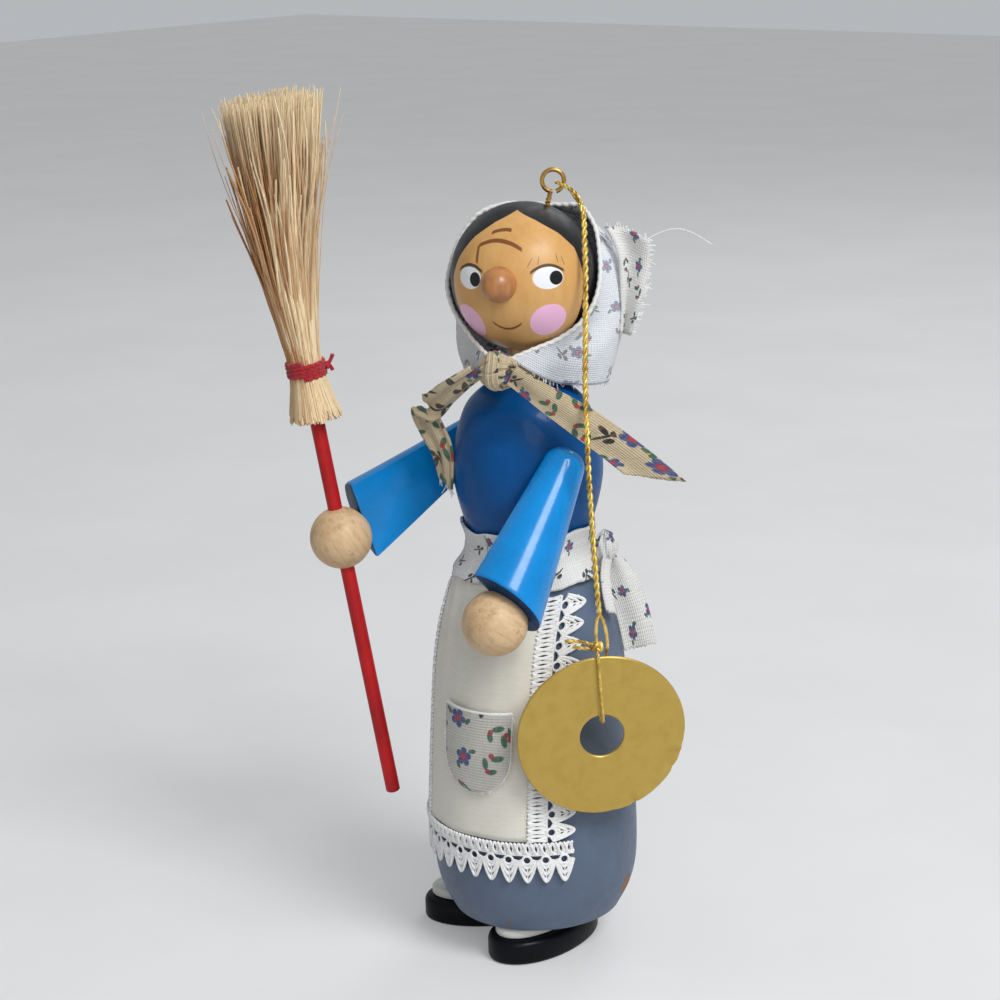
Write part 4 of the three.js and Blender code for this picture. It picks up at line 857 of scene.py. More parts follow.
PRINT = printed_cloth("print_cloth", (236, 236, 234), (222, 221, 216), cell=4.0, size=1.15)
# The hood is the kerchief's white print with fainter ink; its bluish tint is painted cool light.
PRINT_HOOD = printed_cloth(
    "print_cloth_hood", (232, 236, 241), (219, 223, 229), cell=5.0, size=1.5, ink_level=0.68
)
PRINT_TAN = printed_cloth(
    "print_cloth_tan", (214, 198, 166), (190, 170, 134), pitch=0.34, size=1.9, rib_shade=0.46, cross=0.06
)
PRINT_RIBBED = printed_cloth(
    "print_cloth_ribbed", (208, 206, 200), (186, 183, 176),
    pitch=0.4, cell=4.4, size=2.0, rib_shade=0.5, cross=0.06,
)
IVORY = plain_cloth("ivory_cloth", (234, 231, 219), (226, 221, 206), pitch=0.3)
LACE = thread_material("lace_thread", (250, 250, 250), (236, 236, 234))
STRAW = straw_material()
YARN = thread_material("red_yarn", (186, 28, 42), (138, 14, 26))
BRASS = metal_material("brass", (196, 158, 88), (142, 104, 54), roughness=0.3)
GOLD_CORD = metal_material("gold_cord", (236, 204, 108), (150, 112, 46), roughness=0.34, metallic=0.65)
GOLD_CARD = metal_material(
    "gold_card", (190, 160, 78), (184, 153, 72), roughness=0.38, metallic=0.5, scratch=0.2, uneven=0.06
)


# Cord and tag: two strands twisted together from the screw eye down to the knot over the tag

def winding(path, offset, pitch, phase):
    """Points of a strand that winds round a path, one turn to each pitch of its length."""
    path = [Vector(p) for p in path]
    side = (path[1] - path[0]).orthogonal().normalized()
    travelled = 0
    found = []
    for i, point in enumerate(path):
        ahead = (path[min(i + 1, len(path) - 1)] - path[max(i - 1, 0)]).normalized()
        side = (side - ahead * side.dot(ahead)).normalized()
        travelled += (point - path[i - 1]).length if i else 0
        angle = phase + TURN * travelled / pitch
        found.append(point + (side * math.cos(angle) + ahead.cross(side) * math.sin(angle)) * offset)
    return found


def twine(form, path, offset, pitch, radius, sides=6):
    """Two strands wound round each other along a path."""
    for phase in (0, math.pi):
        form.tube(winding(path, offset, pitch, phase), radius, sides)


def path_length(path):
    return sum((b - a).length for a, b in zip(path, path[1:]))


def turned_about(axis, degrees):
    return Matrix.Rotation(math.radians(degrees), 4, axis)


HEAD_PLACE = Matrix.Translation((0, 0, HEAD_Z)) @ turned_about("Z", HEAD_TURN)
EYE_WOOD = math.sqrt(HEAD_RADIUS ** 2 - EYE_FOOT[0] ** 2 - EYE_FOOT[1] ** 2)
EYE_LEAN = math.atan2(EYE_FOOT[0], -EYE_FOOT[1])
EYE_PLACE = (
    Matrix.Translation((*EYE_FOOT, HEAD_Z + EYE_WOOD))
    @ Matrix.Rotation(EYE_LEAN, 4, "Z")
    @ turned_about("X", EYE_TILT)
)
TAG_PLACE = Matrix.Translation(CORD_KNOT) @ turned_about("Z", TAG_TURN) @ turned_about("X", TAG_TILT)
TAG_AXIS = Vector((math.cos(math.radians(TAG_TURN)), math.sin(math.radians(TAG_TURN)), 0))
TAG_THREAD_OFF = TAG_THICKNESS / 2 + 0.3 + STRAND_RADIUS
TAG_THREAD_TOP = -1.3
TAG_THREAD_FOOT = -TAG_DROP + TAG_HOLE - 0.3 - STRAND_RADIUS


def cord_strand(route, sign):
    """One strand of the cord: wound round the other, then hanging straight on its own side."""
    wound = winding(route, STRAND_OFFSET, CORD_TWIST, 0 if sign > 0 else math.pi)
    found = []
    for place, twisted in zip(route, wound):
        apart = lerp(STRAND_OFFSET, STRAND_PARTING, smoothstep(PARTING_Z[0], PARTING_Z[1] - 1.5, place.z))
        found.append(twisted.lerp(place + TAG_AXIS * sign * apart, smoothstep(*PARTING_Z, place.z)))
    return found


def make_cord():
    route = spline(CORD_ROUTE, 260)
    cord = Form()
    strands = {sign: cord_strand(route, sign) for sign in (-1, 1)}
    for strand in strands.values():
        cord.tube(strand, STRAND_RADIUS)
    hanging = cord.piece("hanging_cord_strands", "gold_cord", GOLD_CORD, ["hanging_cord"])

    ring_middle = EYE_PLACE @ Vector((0, 0, EYE_SHANK + EYE_RING))
    through = around(1, math.radians(EYE_TURN), 0)
    aside = Vector((-through.y, through.x, 0))
    loop_route = [route[0]]
    for right, up, out in EYE_LOOP:
        loop_route.append(ring_middle + aside * right + through * out + Vector((0, 0, up)))
    loop_route.append(route[0])
    loop = Form()
    twine(loop, spline(loop_route, 80), *LOOP_TWINE)
    eye_loop = loop.piece("cord_eye_loop_strands", "gold_cord", GOLD_CORD, ["cord_eye_loop"])

    knot = Form()
    knot_middle = Vector(CORD_KNOT) - TAG_AXIS * STRAND_PARTING
    size, depth = TREFOIL
    trefoil = []
    for t in spread(0, TURN, 96):
        trefoil.append(knot_middle + Vector((
            size * (math.sin(t) + 2 * math.sin(2 * t)),
            size * (math.cos(t) - 2 * math.cos(2 * t)),
            -depth * math.sin(3 * t),
        )))
    knot.tube(trefoil, 0.3)
    for sign, strand in strands.items():
        swing_end = Vector(CORD_KNOT) + TAG_AXIS * STRAND_PARTING * sign
        knot.tube(spline([strand[-8], strand[-1], swing_end], 12), STRAND_RADIUS * 0.96)
    for reach, drop, bow in ((4.2, 1.1, 0.3), (3.2, 0.3, -0.25)):
        end = [
            knot_middle - TAG_AXIS * reach * t + Vector((0, 0, drop * t + bow * math.sin(math.pi * t)))
            for t in spread(0.15, 1, 16)
        ]
        twine(knot, end, *END_TWINE)
    knot_piece = knot.piece("cord_knot_strands", "gold_cord", GOLD_CORD, ["cord_knot"])

    thread = Form()
    thread_route = [
        (-STRAND_PARTING, 0, -0.2),
        (-STRAND_PARTING, -TAG_THREAD_OFF * 0.7, TAG_THREAD_TOP * 0.6),
        (-STRAND_PARTING, -TAG_THREAD_OFF, TAG_THREAD_TOP),
        (-STRAND_PARTING * 0.6, -TAG_THREAD_OFF - 0.1, TAG_THREAD_FOOT / 2),
        (0, -TAG_THREAD_OFF, TAG_THREAD_FOOT + 0.3),
        (0, 0, TAG_THREAD_FOOT - 0.3),
        (0, TAG_THREAD_OFF, TAG_THREAD_FOOT + 0.3),
        (STRAND_PARTING * 0.4, TAG_THREAD_OFF + 0.1, TAG_THREAD_FOOT / 2),
        (STRAND_PARTING, TAG_THREAD_OFF, TAG_THREAD_TOP),
        (STRAND_PARTING, TAG_THREAD_OFF * 0.7, TAG_THREAD_TOP * 0.6),
        (STRAND_PARTING, 0, -0.2),
    ]
    twine(thread, spline(thread_route, 90), *THREAD_TWINE)
    thread.moved(TAG_PLACE)
    thread_piece = thread.piece("tag_thread_strands", "gold_cord", GOLD_CORD, ["tag_thread"], body="tag")

    path_length(route) * MM
    [tuple(p * MM) for p in route[::10]]


def make_tag():
    """Foil-covered card disc: slightly bowed, dented and worn along its lower right edge."""
    count, rings = 120, 14
    drift = random.Random(TAG_SEED)
    dents = [drift.uniform(-1, 1) for _ in range(count)]

    def bow(radius, turn):
        across = radius * math.cos(turn) / TAG_RADIUS
        along = radius * math.sin(turn) / TAG_RADIUS
        bend = 0.22 * across * across - 0.1 * along
        worn = smoothstep(0.78, 1, radius / TAG_RADIUS) * smoothstep(0.6, 1, math.cos(turn + 0.75))
        k = int(turn / TURN * count) % count
        return bend + worn * 0.22 * dents[k]

    def wear(turn):
        k = int(turn / TURN * count) % count
        return 1 - 0.012 * smoothstep(0.6, 1, math.cos(turn + 0.75)) * abs(dents[k])

    half = TAG_THICKNESS / 2
    edge = 0.12
    section = [(TAG_HOLE, -half + edge), (TAG_HOLE + edge, -half)]
    section += [(r, -half) for r in spread(TAG_HOLE + 0.5, TAG_RADIUS - 0.35, rings)]
    section += [(TAG_RADIUS - edge, -half), (TAG_RADIUS, -half + edge), (TAG_RADIUS, half - edge)]
    section += [(TAG_RADIUS - edge, half)]
    section += [(r, half) for r in spread(TAG_RADIUS - 0.35, TAG_HOLE + 0.5, rings)]
    section += [(TAG_HOLE + edge, half), (TAG_HOLE, half - edge)]
    rows = []
    for r, off in section + section[:1]:
        row = []
        for k in range(count):
            turn = TURN * k / count
            size = r * wear(turn) if r > TAG_RADIUS * 0.8 else r
            row.append(Vector((
                size * math.cos(turn),
                off + bow(r, turn),
                -TAG_DROP + size * math.sin(turn),
            )))
        rows.append(row)
    disc = Form()
    disc.grid(rows[:-1] + [rows[0]], closed=True)
    disc.moved(TAG_PLACE)
    disc.piece("tag_card", "gold_card", GOLD_CARD, ["tag_disc"], smooth_angle=40, body="tag")


make_cord()
make_tag()


# Turned wood: skirt, torso, head, nose and shoes

def rounded(outline, low=0.5, high=0.5):
    """A turned outline with small rounded edges at its foot and top."""
    start, end = outline[0], outline[-1]
    foot = [(start[0] - low, start[1]), (start[0] - low * 0.3, start[1] + low * 0.3)]
    top = [(end[0] - high * 0.3, end[1] - high * 0.3), (end[0] - high, end[1])]
    return foot + [tuple(p) for p in outline[1:-1]] + top


def make_body():
    skirt = Form()
    skirt.lathe(rounded(SKIRT), 96)
    skirt.piece("skirt_turning", "grey_paint", GREY_PAINT, ["skirt_body"])
    torso = Form()
    torso.lathe(rounded(TORSO, 0.3, 0.6), 96)
    torso.piece("torso_turning", "blue_paint", BLUE_PAINT, ["torso"])

    def fuller_below(turn, tilt):
        return 1 + 0.02 * smoothstep(0.1, 0.8, math.cos(tilt))

    head = Form()
    head.ball((0, 0, 0), (HEAD_RADIUS,) * 3, 96, 48, fuller_below)
    head.piece("head_bead", "head_wood", FACE, ["head_ball"], at=HEAD_PLACE)

    tip = [
        (NOSE_RADIUS * math.cos(t), NOSE_TIP + NOSE_ROUND * (math.sin(t) - 1))
        for t in spread(0, math.pi / 2 - 0.08, 8)
    ]
    nose = Form()
    nose.lathe([(NOSE_RADIUS, NOSE_ROOT)] + tip, 40)
    forward = turned_about("Z", NOSE_ASIDE) @ Matrix.Translation((0, 0, NOSE_RISE)) @ turned_about("X", 90)
    nose.moved(forward)
    nose.piece("nose_dowel", "nose_wood", NOSE_WOOD, ["nose_peg"], at=HEAD_PLACE)


SHOE_SIZE = (19.6, 10.4, 3.5)
SHOE_TOE_SWELL = 0.12
SHOE_TOP = [(0, 1), (0.1, 0.6), (0.35, 0.25), (0.9, 0.05), (1.4, 0)]  # inset and depth under the top
SOCK_SIZE = (15.0, 7.6, 1.3)
SOCK_FORWARD = 1.2
FEET = {"left": ((3.1, -2.2), -5), "right": ((-8.8, 0.6), -49)}


def sole_ring(length, width, z, forward=0.0, count=64):
    ring = []
    for k in range(count):
        t = TURN * k / count
        across = math.sin(t) * (1 + SHOE_TOE_SWELL * math.cos(t))
        ring.append(Vector((width / 2 * across, -forward - length / 2 * math.cos(t), z)))
    return ring


def make_feet():
    length, width, height = SHOE_SIZE
    sock_length, sock_width, sock_height = SOCK_SIZE
    sock_foot = height + 0.1
    for side, (place, turn) in FEET.items():
        stand = Matrix.Translation((*place, 0)) @ turned_about("Z", turn)
        shoe = Form()
        insets = [(0.5, 0), (0.15, 0.15), (0, 0.5)]
        insets += [(inset, height - down) for inset, down in SHOE_TOP]
        shoe.rings([sole_ring(length - 2 * i, width - 2 * i, z) for i, z in insets])
        shoe.moved(stand)
        shoe.piece(f"{side}_shoe_sole", "black_paint", BLACK_PAINT, [f"{side}_shoe"])
        sock = Form()
        levels = [(0.1, 0), (0, 0.15), (0, sock_height - 0.3), (0.3, sock_height)]
        sock.rings([
            sole_ring(sock_length - 2 * i, sock_width - 2 * i, sock_foot + z, SOCK_FORWARD)
            for i, z in levels
        ])
        sock.moved(stand)
        sock.piece(f"{side}_sock_band", "white_paint", WHITE_PAINT, [f"{side}_sock"])


make_body()
make_feet()


# Arms: flared sleeves with a flat inner side, and bead hands

def arm_place(side):
    sign = ARM_SIDE[side]
    return (
        turned_about("Z", SHOULDER_TURN)
        @ Matrix.Translation((sign * SHOULDER[0], SHOULDER[1], SHOULDER[2]))
        @ turned_about("X", ARM_DROOP[side])
        @ turned_about("Z", sign * ARM_SPLAY)
    )


def make_sleeve(side):
    sign = ARM_SIDE[side]
    splay = math.radians(ARM_SPLAY)
    slant = math.tan(math.radians(SLEEVE_CUFF_SLANT))
    flare = (SLEEVE_RADII[1] - SLEEVE_RADII[0]) / (SLEEVE_LENGTH + SLEEVE_BACK)

    def radius(s):
        return SLEEVE_RADII[0] + flare * (s + SLEEVE_BACK)

    def ring(share, shrink=0.0, ahead=0.0):
        s = lerp(-SLEEVE_BACK, SLEEVE_LENGTH, share) + ahead
        size = max(0.05, radius(s) - shrink)
        limit = max(-SLEEVE_FLAT, (-SLEEVE_INNER - s * math.sin(splay)) / math.cos(splay)) + shrink * 0.45
        half = math.acos(max(-1, min(0.6, limit / size)))
        points = []
        for a in spread(-half, half, 56):
            x, z = size * math.cos(a), size * math.sin(a)
            points.append(Vector((sign * x, slant * share * share * z - s, z)))
        points += [points[-1].lerp(points[0], k / 12) for k in range(1, 12)]
        return points if sign > 0 else points[::-1]

    rings = [ring(0, 1.9 * (1 - math.cos(a)), 2.0 * (1 - math.sin(a))) for a in spread(1.45, 0, 7)]
    rings += [ring(share) for share in spread(0.12, 0.97, 16)]
    rings += [ring(1, 0, -0.3), ring(1, 0.08, -0.08), ring(1, 0.24)]
    sleeve = Form()
    sleeve.rings(rings)
    sleeve.moved(arm_place(side))
    arm = f"{side}_arm"
    sleeve.piece(f"{side}_sleeve_cone", "sleeve_paint", SLEEVE_PAINT, [f"{side}_sleeve"], body=arm)
    # A darker sheet over the cuff's end face: painted shade.
    end = Form()
    end.rings([ring(1, 0.12, 0.02), ring(1, 0.3, 0.05), ring(1, 2.6, 0.05), ring(1, 4.8, 0.05)])
    end.moved(arm_place(side))
    end.piece(f"{side}_sleeve_end", "sleeve_paint", SLEEVE_END_SHADE, body=arm)


def make_hand(side):
    hand = Form()
    hand.ball((0, 0, 0), (HAND_RADIUS,) * 3, 56, 28)
    place = arm_place(side) @ Matrix.Translation((0, -HAND_REACH[side], 0))
    hand.piece(f"{side}_hand_bead", "pale_wood", PALE_WOOD, [f"{side}_hand"], at=place, body=f"{side}_arm")


for arm in ARM_SIDE:
    make_sleeve(arm)
    make_hand(arm)


# Broom: handle, straw tied in one bundle and its yarn

BROOM_PLACE = (
    Matrix.Translation(arm_place("right") @ Vector((0, -HAND_REACH["right"], 0)))
    @ turned_about("X", BROOM_LEAN[0])
    @ turned_about("Y", BROOM_LEAN[1])
)


def straw_reach(z):
    """The bundle's radius at a place along the handle."""
    for (low, start), (high, end) in zip(STRAW_STATIONS, STRAW_STATIONS[1:]):
        if z <= high:
            return lerp(start, end, (z - low) / (high - low))
    return STRAW_STATIONS[-1][1]


def straw_path(start, end, turn, depth, lock, flare, curl, wave=0.0):
    """A strand's way through the bundle; above the yarn it leans towards its lock."""
    lock_turn, lock_depth = lock
    path = []
    for z in spread(start, end, 10):
        share = max(0, (z - BINDING_HEIGHT) / (STRAW_STATIONS[-1][0] - BINDING_HEIGHT))
        reach = straw_reach(z) * lerp(1, flare, smoothstep(0.1, 1, share))
        own = around(reach * depth, turn + curl * share, 0)
        gathered = around(reach * lock_depth, lock_turn + curl * share * 0.3, 0)
        place = own.lerp(gathered, 0.5 * smoothstep(0.2, 0.9, share))
        sway = share * share
        place.x += wave * share * math.sin(9 * share + turn)
        path.append(Vector((place.x + STRAW_SWAY[0] * sway, place.y * 0.92 + STRAW_SWAY[1] * sway, z)))
    return path


def make_straw():
    draw = random.Random(STRAW_SEED)
    straw = Form()
    foot, tip = STRAW_STATIONS[0][0], STRAW_STATIONS[-1][0]
    locks = []
    for k in range(STRAW_LOCKS):
        locks.append((2.4 * k, lerp(0.06, 1.0, math.sqrt(k / (STRAW_LOCKS - 1))), draw.uniform(0, 1.4)))
    for k in range(STRAW_COUNT + STRAW_STRAYS + STRAW_PALE):
        lock_turn, lock_depth, lock_end = locks[k % STRAW_LOCKS]
        turn = lock_turn + draw.gauss(0, STRAW_TURN_SPREAD)
        depth = min(1, max(0.02, lock_depth + draw.gauss(0, STRAW_DEPTH_SPREAD)))
        end = tip - lock_end - draw.uniform(0, 1.1) - draw.random() ** 7 * STRAW_SHORTEST
        flare = draw.uniform(0.95, 1.05)
        thick = draw.choice(STRAW_THICKNESSES)
        curl = draw.uniform(-0.25, 0.25)
        wave = draw.gauss(0, 0.25)
        if k >= STRAW_COUNT:
            turn, depth = draw.uniform(0, TURN), 1.0
            end = tip - draw.uniform(*STRAY["end"])
            flare = draw.uniform(*STRAY["flare"])
            thick = draw.choice(STRAY_THICKNESSES)
            curl = draw.uniform(*STRAY["curl"])
            wave = draw.uniform(*STRAY["wave"])
            lock_turn, lock_depth = turn, depth
        pale = k >= STRAW_COUNT + STRAW_STRAYS
        if pale:
            turn = VIEW_TURN + draw.gauss(0, 0.45)
            end = tip - draw.uniform(*PALE["end"])
            flare = draw.uniform(*PALE["flare"])
            thick = draw.uniform(*PALE["thick"])
            wave = draw.uniform(*PALE["wave"])
            lock_turn = turn
        begin_at = foot + draw.uniform(0, 1.6)
        path = straw_path(begin_at, end, turn, depth, (lock_turn, lock_depth), flare, curl, wave)
        begin = len(straw.points)
        straw.tube(spline(path, 16), lambda t, thick=thick: thick * lerp(1, 0.55, t * t), 4)
        # Painted light and shade: outer strands are paler on the bundle's lit side and darker on the far
        # side; the rest varies at random.
        shade = 0.35 + 0.42 * depth * math.sin(turn - VIEW_TURN) + draw.uniform(-0.3, 0.35)
        shade = 1.0 if pale else min(1, max(0, shade))
        for i in range(begin, len(straw.points)):
            along = (straw.points[i].z - foot) / (tip - foot)
            straw.places[i] = (shade, min(1, max(0, along)))
    straw.moved(BROOM_PLACE)
    straw.piece("broom_straw", "straw", STRAW, ["broom_fibres"], body="broom")


def make_broom():
    radius, low, high = HANDLE
    handle = Form()
    outline = [(radius - 0.2, low), (radius, low + 0.2)]
    outline += [(radius, z) for z in spread(low + 1, high - 1, 12)]
    outline += [(radius, high - 0.2), (radius - 0.2, high)]
    handle.lathe(outline, 24)
    handle.moved(BROOM_PLACE)
    handle.piece("broom_stick", "red_paint", RED_PAINT, ["broom_handle"], body="broom")

    make_straw()

    yarn = Form()
    steps = 150
    coil = []
    for k in range(steps + 1):
        turn = TURN * BINDING_TURNS * k / steps
        rise = (k / steps - 0.5) * BINDING_TURNS * BINDING_PITCH
        coil.append(around(BINDING_RADIUS, turn + 0.6, BINDING_HEIGHT + rise))
    twine(yarn, coil, *YARN_TWINE, sides=8)
    tie = around(BINDING_RADIUS + 0.45, 2.2, BINDING_HEIGHT)
    yarn.ball(tie, (0.6, 0.6, 0.55), 16, 10, lambda turn, tilt: 1 + 0.12 * math.sin(5 * turn + 3 * tilt))
    for lean, drop in ((0.2, 0.9), (-0.4, -1.3)):
        end = [
            tie + Vector((0.9 * t + lean * t * t, 0.4 * t, drop * t * t + 0.5 * t))
            for t in spread(0, 1, 12)
        ]
        yarn.tube(end, lambda t: lerp(0.2, 0.28, t), 6)
    yarn.moved(BROOM_PLACE)
    yarn.piece("broom_yarn", "red_yarn", YARN, ["broom_binding"], body="broom")


make_broom()


# Kerchief

def hood_radius(turn, h):
    """Middle of the hood's cloth, turned from the front of the face, at a height from the head's middle."""
    if h >= 0:
        base = math.sqrt(max(0, HOOD_RADIUS ** 2 - h * h))
    else:
        low = min(1, h / HOOD_SIDE[1])
        base = lerp(HOOD_RADIUS, HOOD_SIDE[0], math.sin(low * math.pi / 2))
        below = max(0, (HOOD_SIDE[1] - h) / (HOOD_SIDE[1] - HOOD_EDGE[1]))
        base = lerp(base, HOOD_EDGE[0], below * below)
    drawn = smoothstep(CHIN_DRAW_START, 1, math.cos(turn))
    return base * (1 - CHIN_DRAW * max(0, -h) * drawn)


def hood_slack(turn, h):
    away = (turn % TURN - HOOD_SLACK_TURN) / HOOD_SLACK_WIDTH
    return HOOD_SLACK * math.exp(-away * away) * smoothstep(10.4, 7, h)


def hood_crease(turn, h):
    """Creases, folds and slack of the hood's cloth."""
    ahead = smoothstep(0.1, 0.9, math.cos(turn))
    crease = 0.2 * ahead * smoothstep(1, -10, h) * math.sin(1.5 * h + 5 * abs(turn))
    fold = 0.28 * (1 - ahead) * smoothstep(-1, -12, h) * math.sin(7 * turn + 0.25 * h)
    soft = 0.1 * math.sin(3.1 * turn + 0.5 * h) * smoothstep(9.5, 6, abs(h + 2))
    return crease + fold + soft + hood_slack(turn, h)


def hood_row(edges, back, tied, columns):
    """Cloth from the left face edge round the head's back, at a height there, to the right edge."""
    halves = []
    for (aside, ahead, level), sign in zip(edges, (1, -1)):
        start = math.atan2(aside, ahead)
        reach = math.hypot(aside, ahead)
        half = []
        for share in spread(0, 1, columns):
            turn = lerp(start, math.pi, share)
            h = lerp(level, back, 1 - (1 - share) ** lerp(2.2, 4, tied))
            loose = hood_radius(turn, h) + hood_crease(sign * turn, h)
            place = around(lerp(reach, loose, smoothstep(0, 0.35, share)), sign * turn, h)
            place *= max(1, HOOD_INSIDE / place.length)
            place.x += EDGE_ASIDE * tied * (1 - share) ** 2
            half.append(HEAD_PLACE @ place)
        halves.append(half)
    left, right = halves
    return left + right[-2::-1]


def make_hood():
    columns, count = 48, 60
    left_edge, right_edge = (spline(edge, count) for edge in FACE_EDGES.values())
    rows = []
    for i in range(1, count + 1):
        share = i / count
        if share < HOOD_CROWN:
            back = HOOD_RADIUS * math.cos(lerp(0.58, math.pi / 2, share / HOOD_CROWN))
        else:
            back = lerp(0, HOOD_EDGE[1], (share - HOOD_CROWN) / (1 - HOOD_CROWN))
        rows.append(hood_row((left_edge[i], right_edge[i]), back, smoothstep(0.7, 1, share), columns))

    def place(i, j):
        half = math.pi - math.atan2(left_edge[i + 1].x, left_edge[i + 1].y)
        return ((j / columns - 1) * half * HOOD_RADIUS, i * 0.6)

    hood = Form()
    hood.grid(rows, places=place)
    cloth = hood.piece("kerchief_cloth", "print_cloth", PRINT_HOOD, ["kerchief_hood"], CLOTH, CLOTH_SMOOTH)

    hem = Form()
    border = [row[0] for row in reversed(rows)] + [row[-1] for row in rows]
    hem.tube(winding(spline(border, 300), 0.05, 1.1, 0), 0.3)
    fray(hem, rows[-1][4:40], Vector((0, 0, -1)), length=0.8, count=40, seed=41)
    hem_piece = hem.piece("kerchief_rolled_hem", "print_cloth", PRINT)
    return cloth, hem_piece


def strip_rows(path, widths, across, pleats, pleat, steps, places, skew, seed):
    """Rows of a gathered strip of cloth along a path, with a slanting end."""
    curve = spline(path, steps)
    wide = spline(across, steps)
    draw = random.Random(seed)
    ragged = [draw.uniform(-0.16, 0.16) for _ in range(places + 1)]
    rows = []
    for i in range(steps + 1):
        share = i / steps
        along = (curve[min(i + 1, steps)] - curve[max(i - 1, 0)]).normalized()
        side = (wide[i] - along * wide[i].dot(along)).normalized()
        out = along.cross(side)
        row = []
        for j in range(places + 1):
            spot = j / places - 0.5
            wave = TURN * pleats * spot + 0.9 * math.sin(3 * share)
            fold = pleat * math.sin(wave) * lerp(1.25, 0.75, share)
            reach = share ** 4 * (skew * spot * 2 + ragged[j])
            row.append(curve[i] + side * spot * widths(share) + out * fold + along * reach)
        rows.append(row)
    return rows


def cloth_places(width, length, rows, columns, start=(0.0, 0.0)):
    return lambda i, j: (start[0] + j / columns * width, start[1] + i / rows * length)


def fray(form, row, ahead, length, count, seed, radius=0.05):
    """Short loose threads along a cut edge."""
    draw = random.Random(seed)
    for _ in range(count):
        place = draw.random() * (len(row) - 1)
        i = min(int(place), len(row) - 2)
        root = row[i].lerp(row[i + 1], place - i)
        lean = Vector([draw.uniform(-0.5, 0.5) for _ in range(3)])
        reach = length * draw.uniform(0.4, 1)
        path = [root + (ahead + lean * t) * reach * t for t in spread(-0.1, 1, 5)]
        form.tube(path, radius, 4)


def cloth_piece(name, node, material, rows, size, start=(0.0, 0.0), thickness=CLOTH, slot="print_cloth"):
    """A sheet over rows of points, its print laid out from a start over a size."""
    sheet = Form()
    sheet.grid(rows, places=cloth_places(*size, len(rows) - 1, len(rows[0]) - 1, start))
    return sheet.piece(name, slot, material, [node], thickness, CLOTH_SMOOTH)


def cloth_lump(name, node, material, size, detail, shape, start, reach, place):
    """A tied lump: a gathered ball with its print laid round it."""
    lump = Form()
    lump.ball((0, 0, 0), size, *detail, shape)
    for i, p in enumerate(lump.points):
        lump.places[i] = (start[0] + math.atan2(p.x, -p.y) * reach, start[1] + p.z)
    lump.moved(place)
    return lump.piece(name, "print_cloth", material, [node], 0, CLOTH_SMOOTH)


def tail_route(places):
    found = []
    for out, turn, rise in places:
        found.append(around(TORSO_RADIUS + out, math.radians(turn), TORSO_TOP_Z + rise))
    return found


def make_tails():
    route = spline(tail_route(LONG_TAIL), 50)[:45]
    rows = strip_rows(
        route, lambda s: lerp(2.8, 4.5, smoothstep(0, 0.7, s)), LONG_TAIL_ACROSS,
        pleats=1, pleat=0.16, steps=40, places=24, skew=3.6, seed=3,
    )
    cloth_piece("kerchief_tail_left", "kerchief_long_tail", PRINT_TAN, rows, (5, path_length(route)))

    route = tail_route(SHORT_TAIL)
    rows = strip_rows(
        route, lambda s: lerp(3.2, 4.0, math.sin(math.pi * s)), SHORT_TAIL_ACROSS,
        pleats=2, pleat=0.26, steps=48, places=20, skew=0.6, seed=4,
    )
    size = (5, path_length(spline(route, 48)))
    cloth_piece("kerchief_tail_right", "kerchief_short_tail", PRINT_TAN, rows, size, (40, 9))

    threads = Form()
    ahead = (rows[-1][10] - rows[-3][10]).normalized()
    fray(threads, rows[-1], ahead, length=1.0, count=26, seed=5)
    return threads.piece("kerchief_tail_fray", "print_cloth", LACE)


def make_knot():
    """The kerchief's knot: gathered cloth that bulges above and below a wrapped band."""
    out, turn, z = KNOT
    place = Matrix.Translation(around(out, math.radians(turn), z)) @ turned_about("Z", turn)

    def pleats(angle, tilt):
        return 1 + 0.09 * math.sin(12 * angle + 1.2 * math.sin(2 * tilt)) + 0.03 * math.sin(25 * angle)

    knot = cloth_lump(
        "kerchief_knot_cloth", "kerchief_knot", PRINT_TAN, KNOT_SIZE, (72, 30), pleats, (33, 7), 2.2,
        place @ turned_about("Y", 78),
    )

    band = Form()
    rows = []
    for k in range(49):
        t = TURN * k / 48
        ring = Vector((0.35 * math.sin(2 * t), -1.98 * math.cos(t), 2.38 * math.sin(t)))
        row = []
        for spot in spread(-0.5, 0.5, 10):
            ridge = 0.1 * math.sin(TURN * 2.5 * spot) + 0.16 * math.cos(math.pi * spot)
            row.append(ring * (1 + ridge * 0.3) + Vector((spot * 1.9, 0, 0)))
        rows.append(row)
    band.grid(rows, places=cloth_places(2, 13, 48, 10, (73, 9)))
    band.moved(place @ turned_about("Y", -12))
    wrap = band.piece("kerchief_knot_wrap", "print_cloth", PRINT_TAN, (), THIN_CLOTH, CLOTH_SMOOTH)
    return knot, wrap


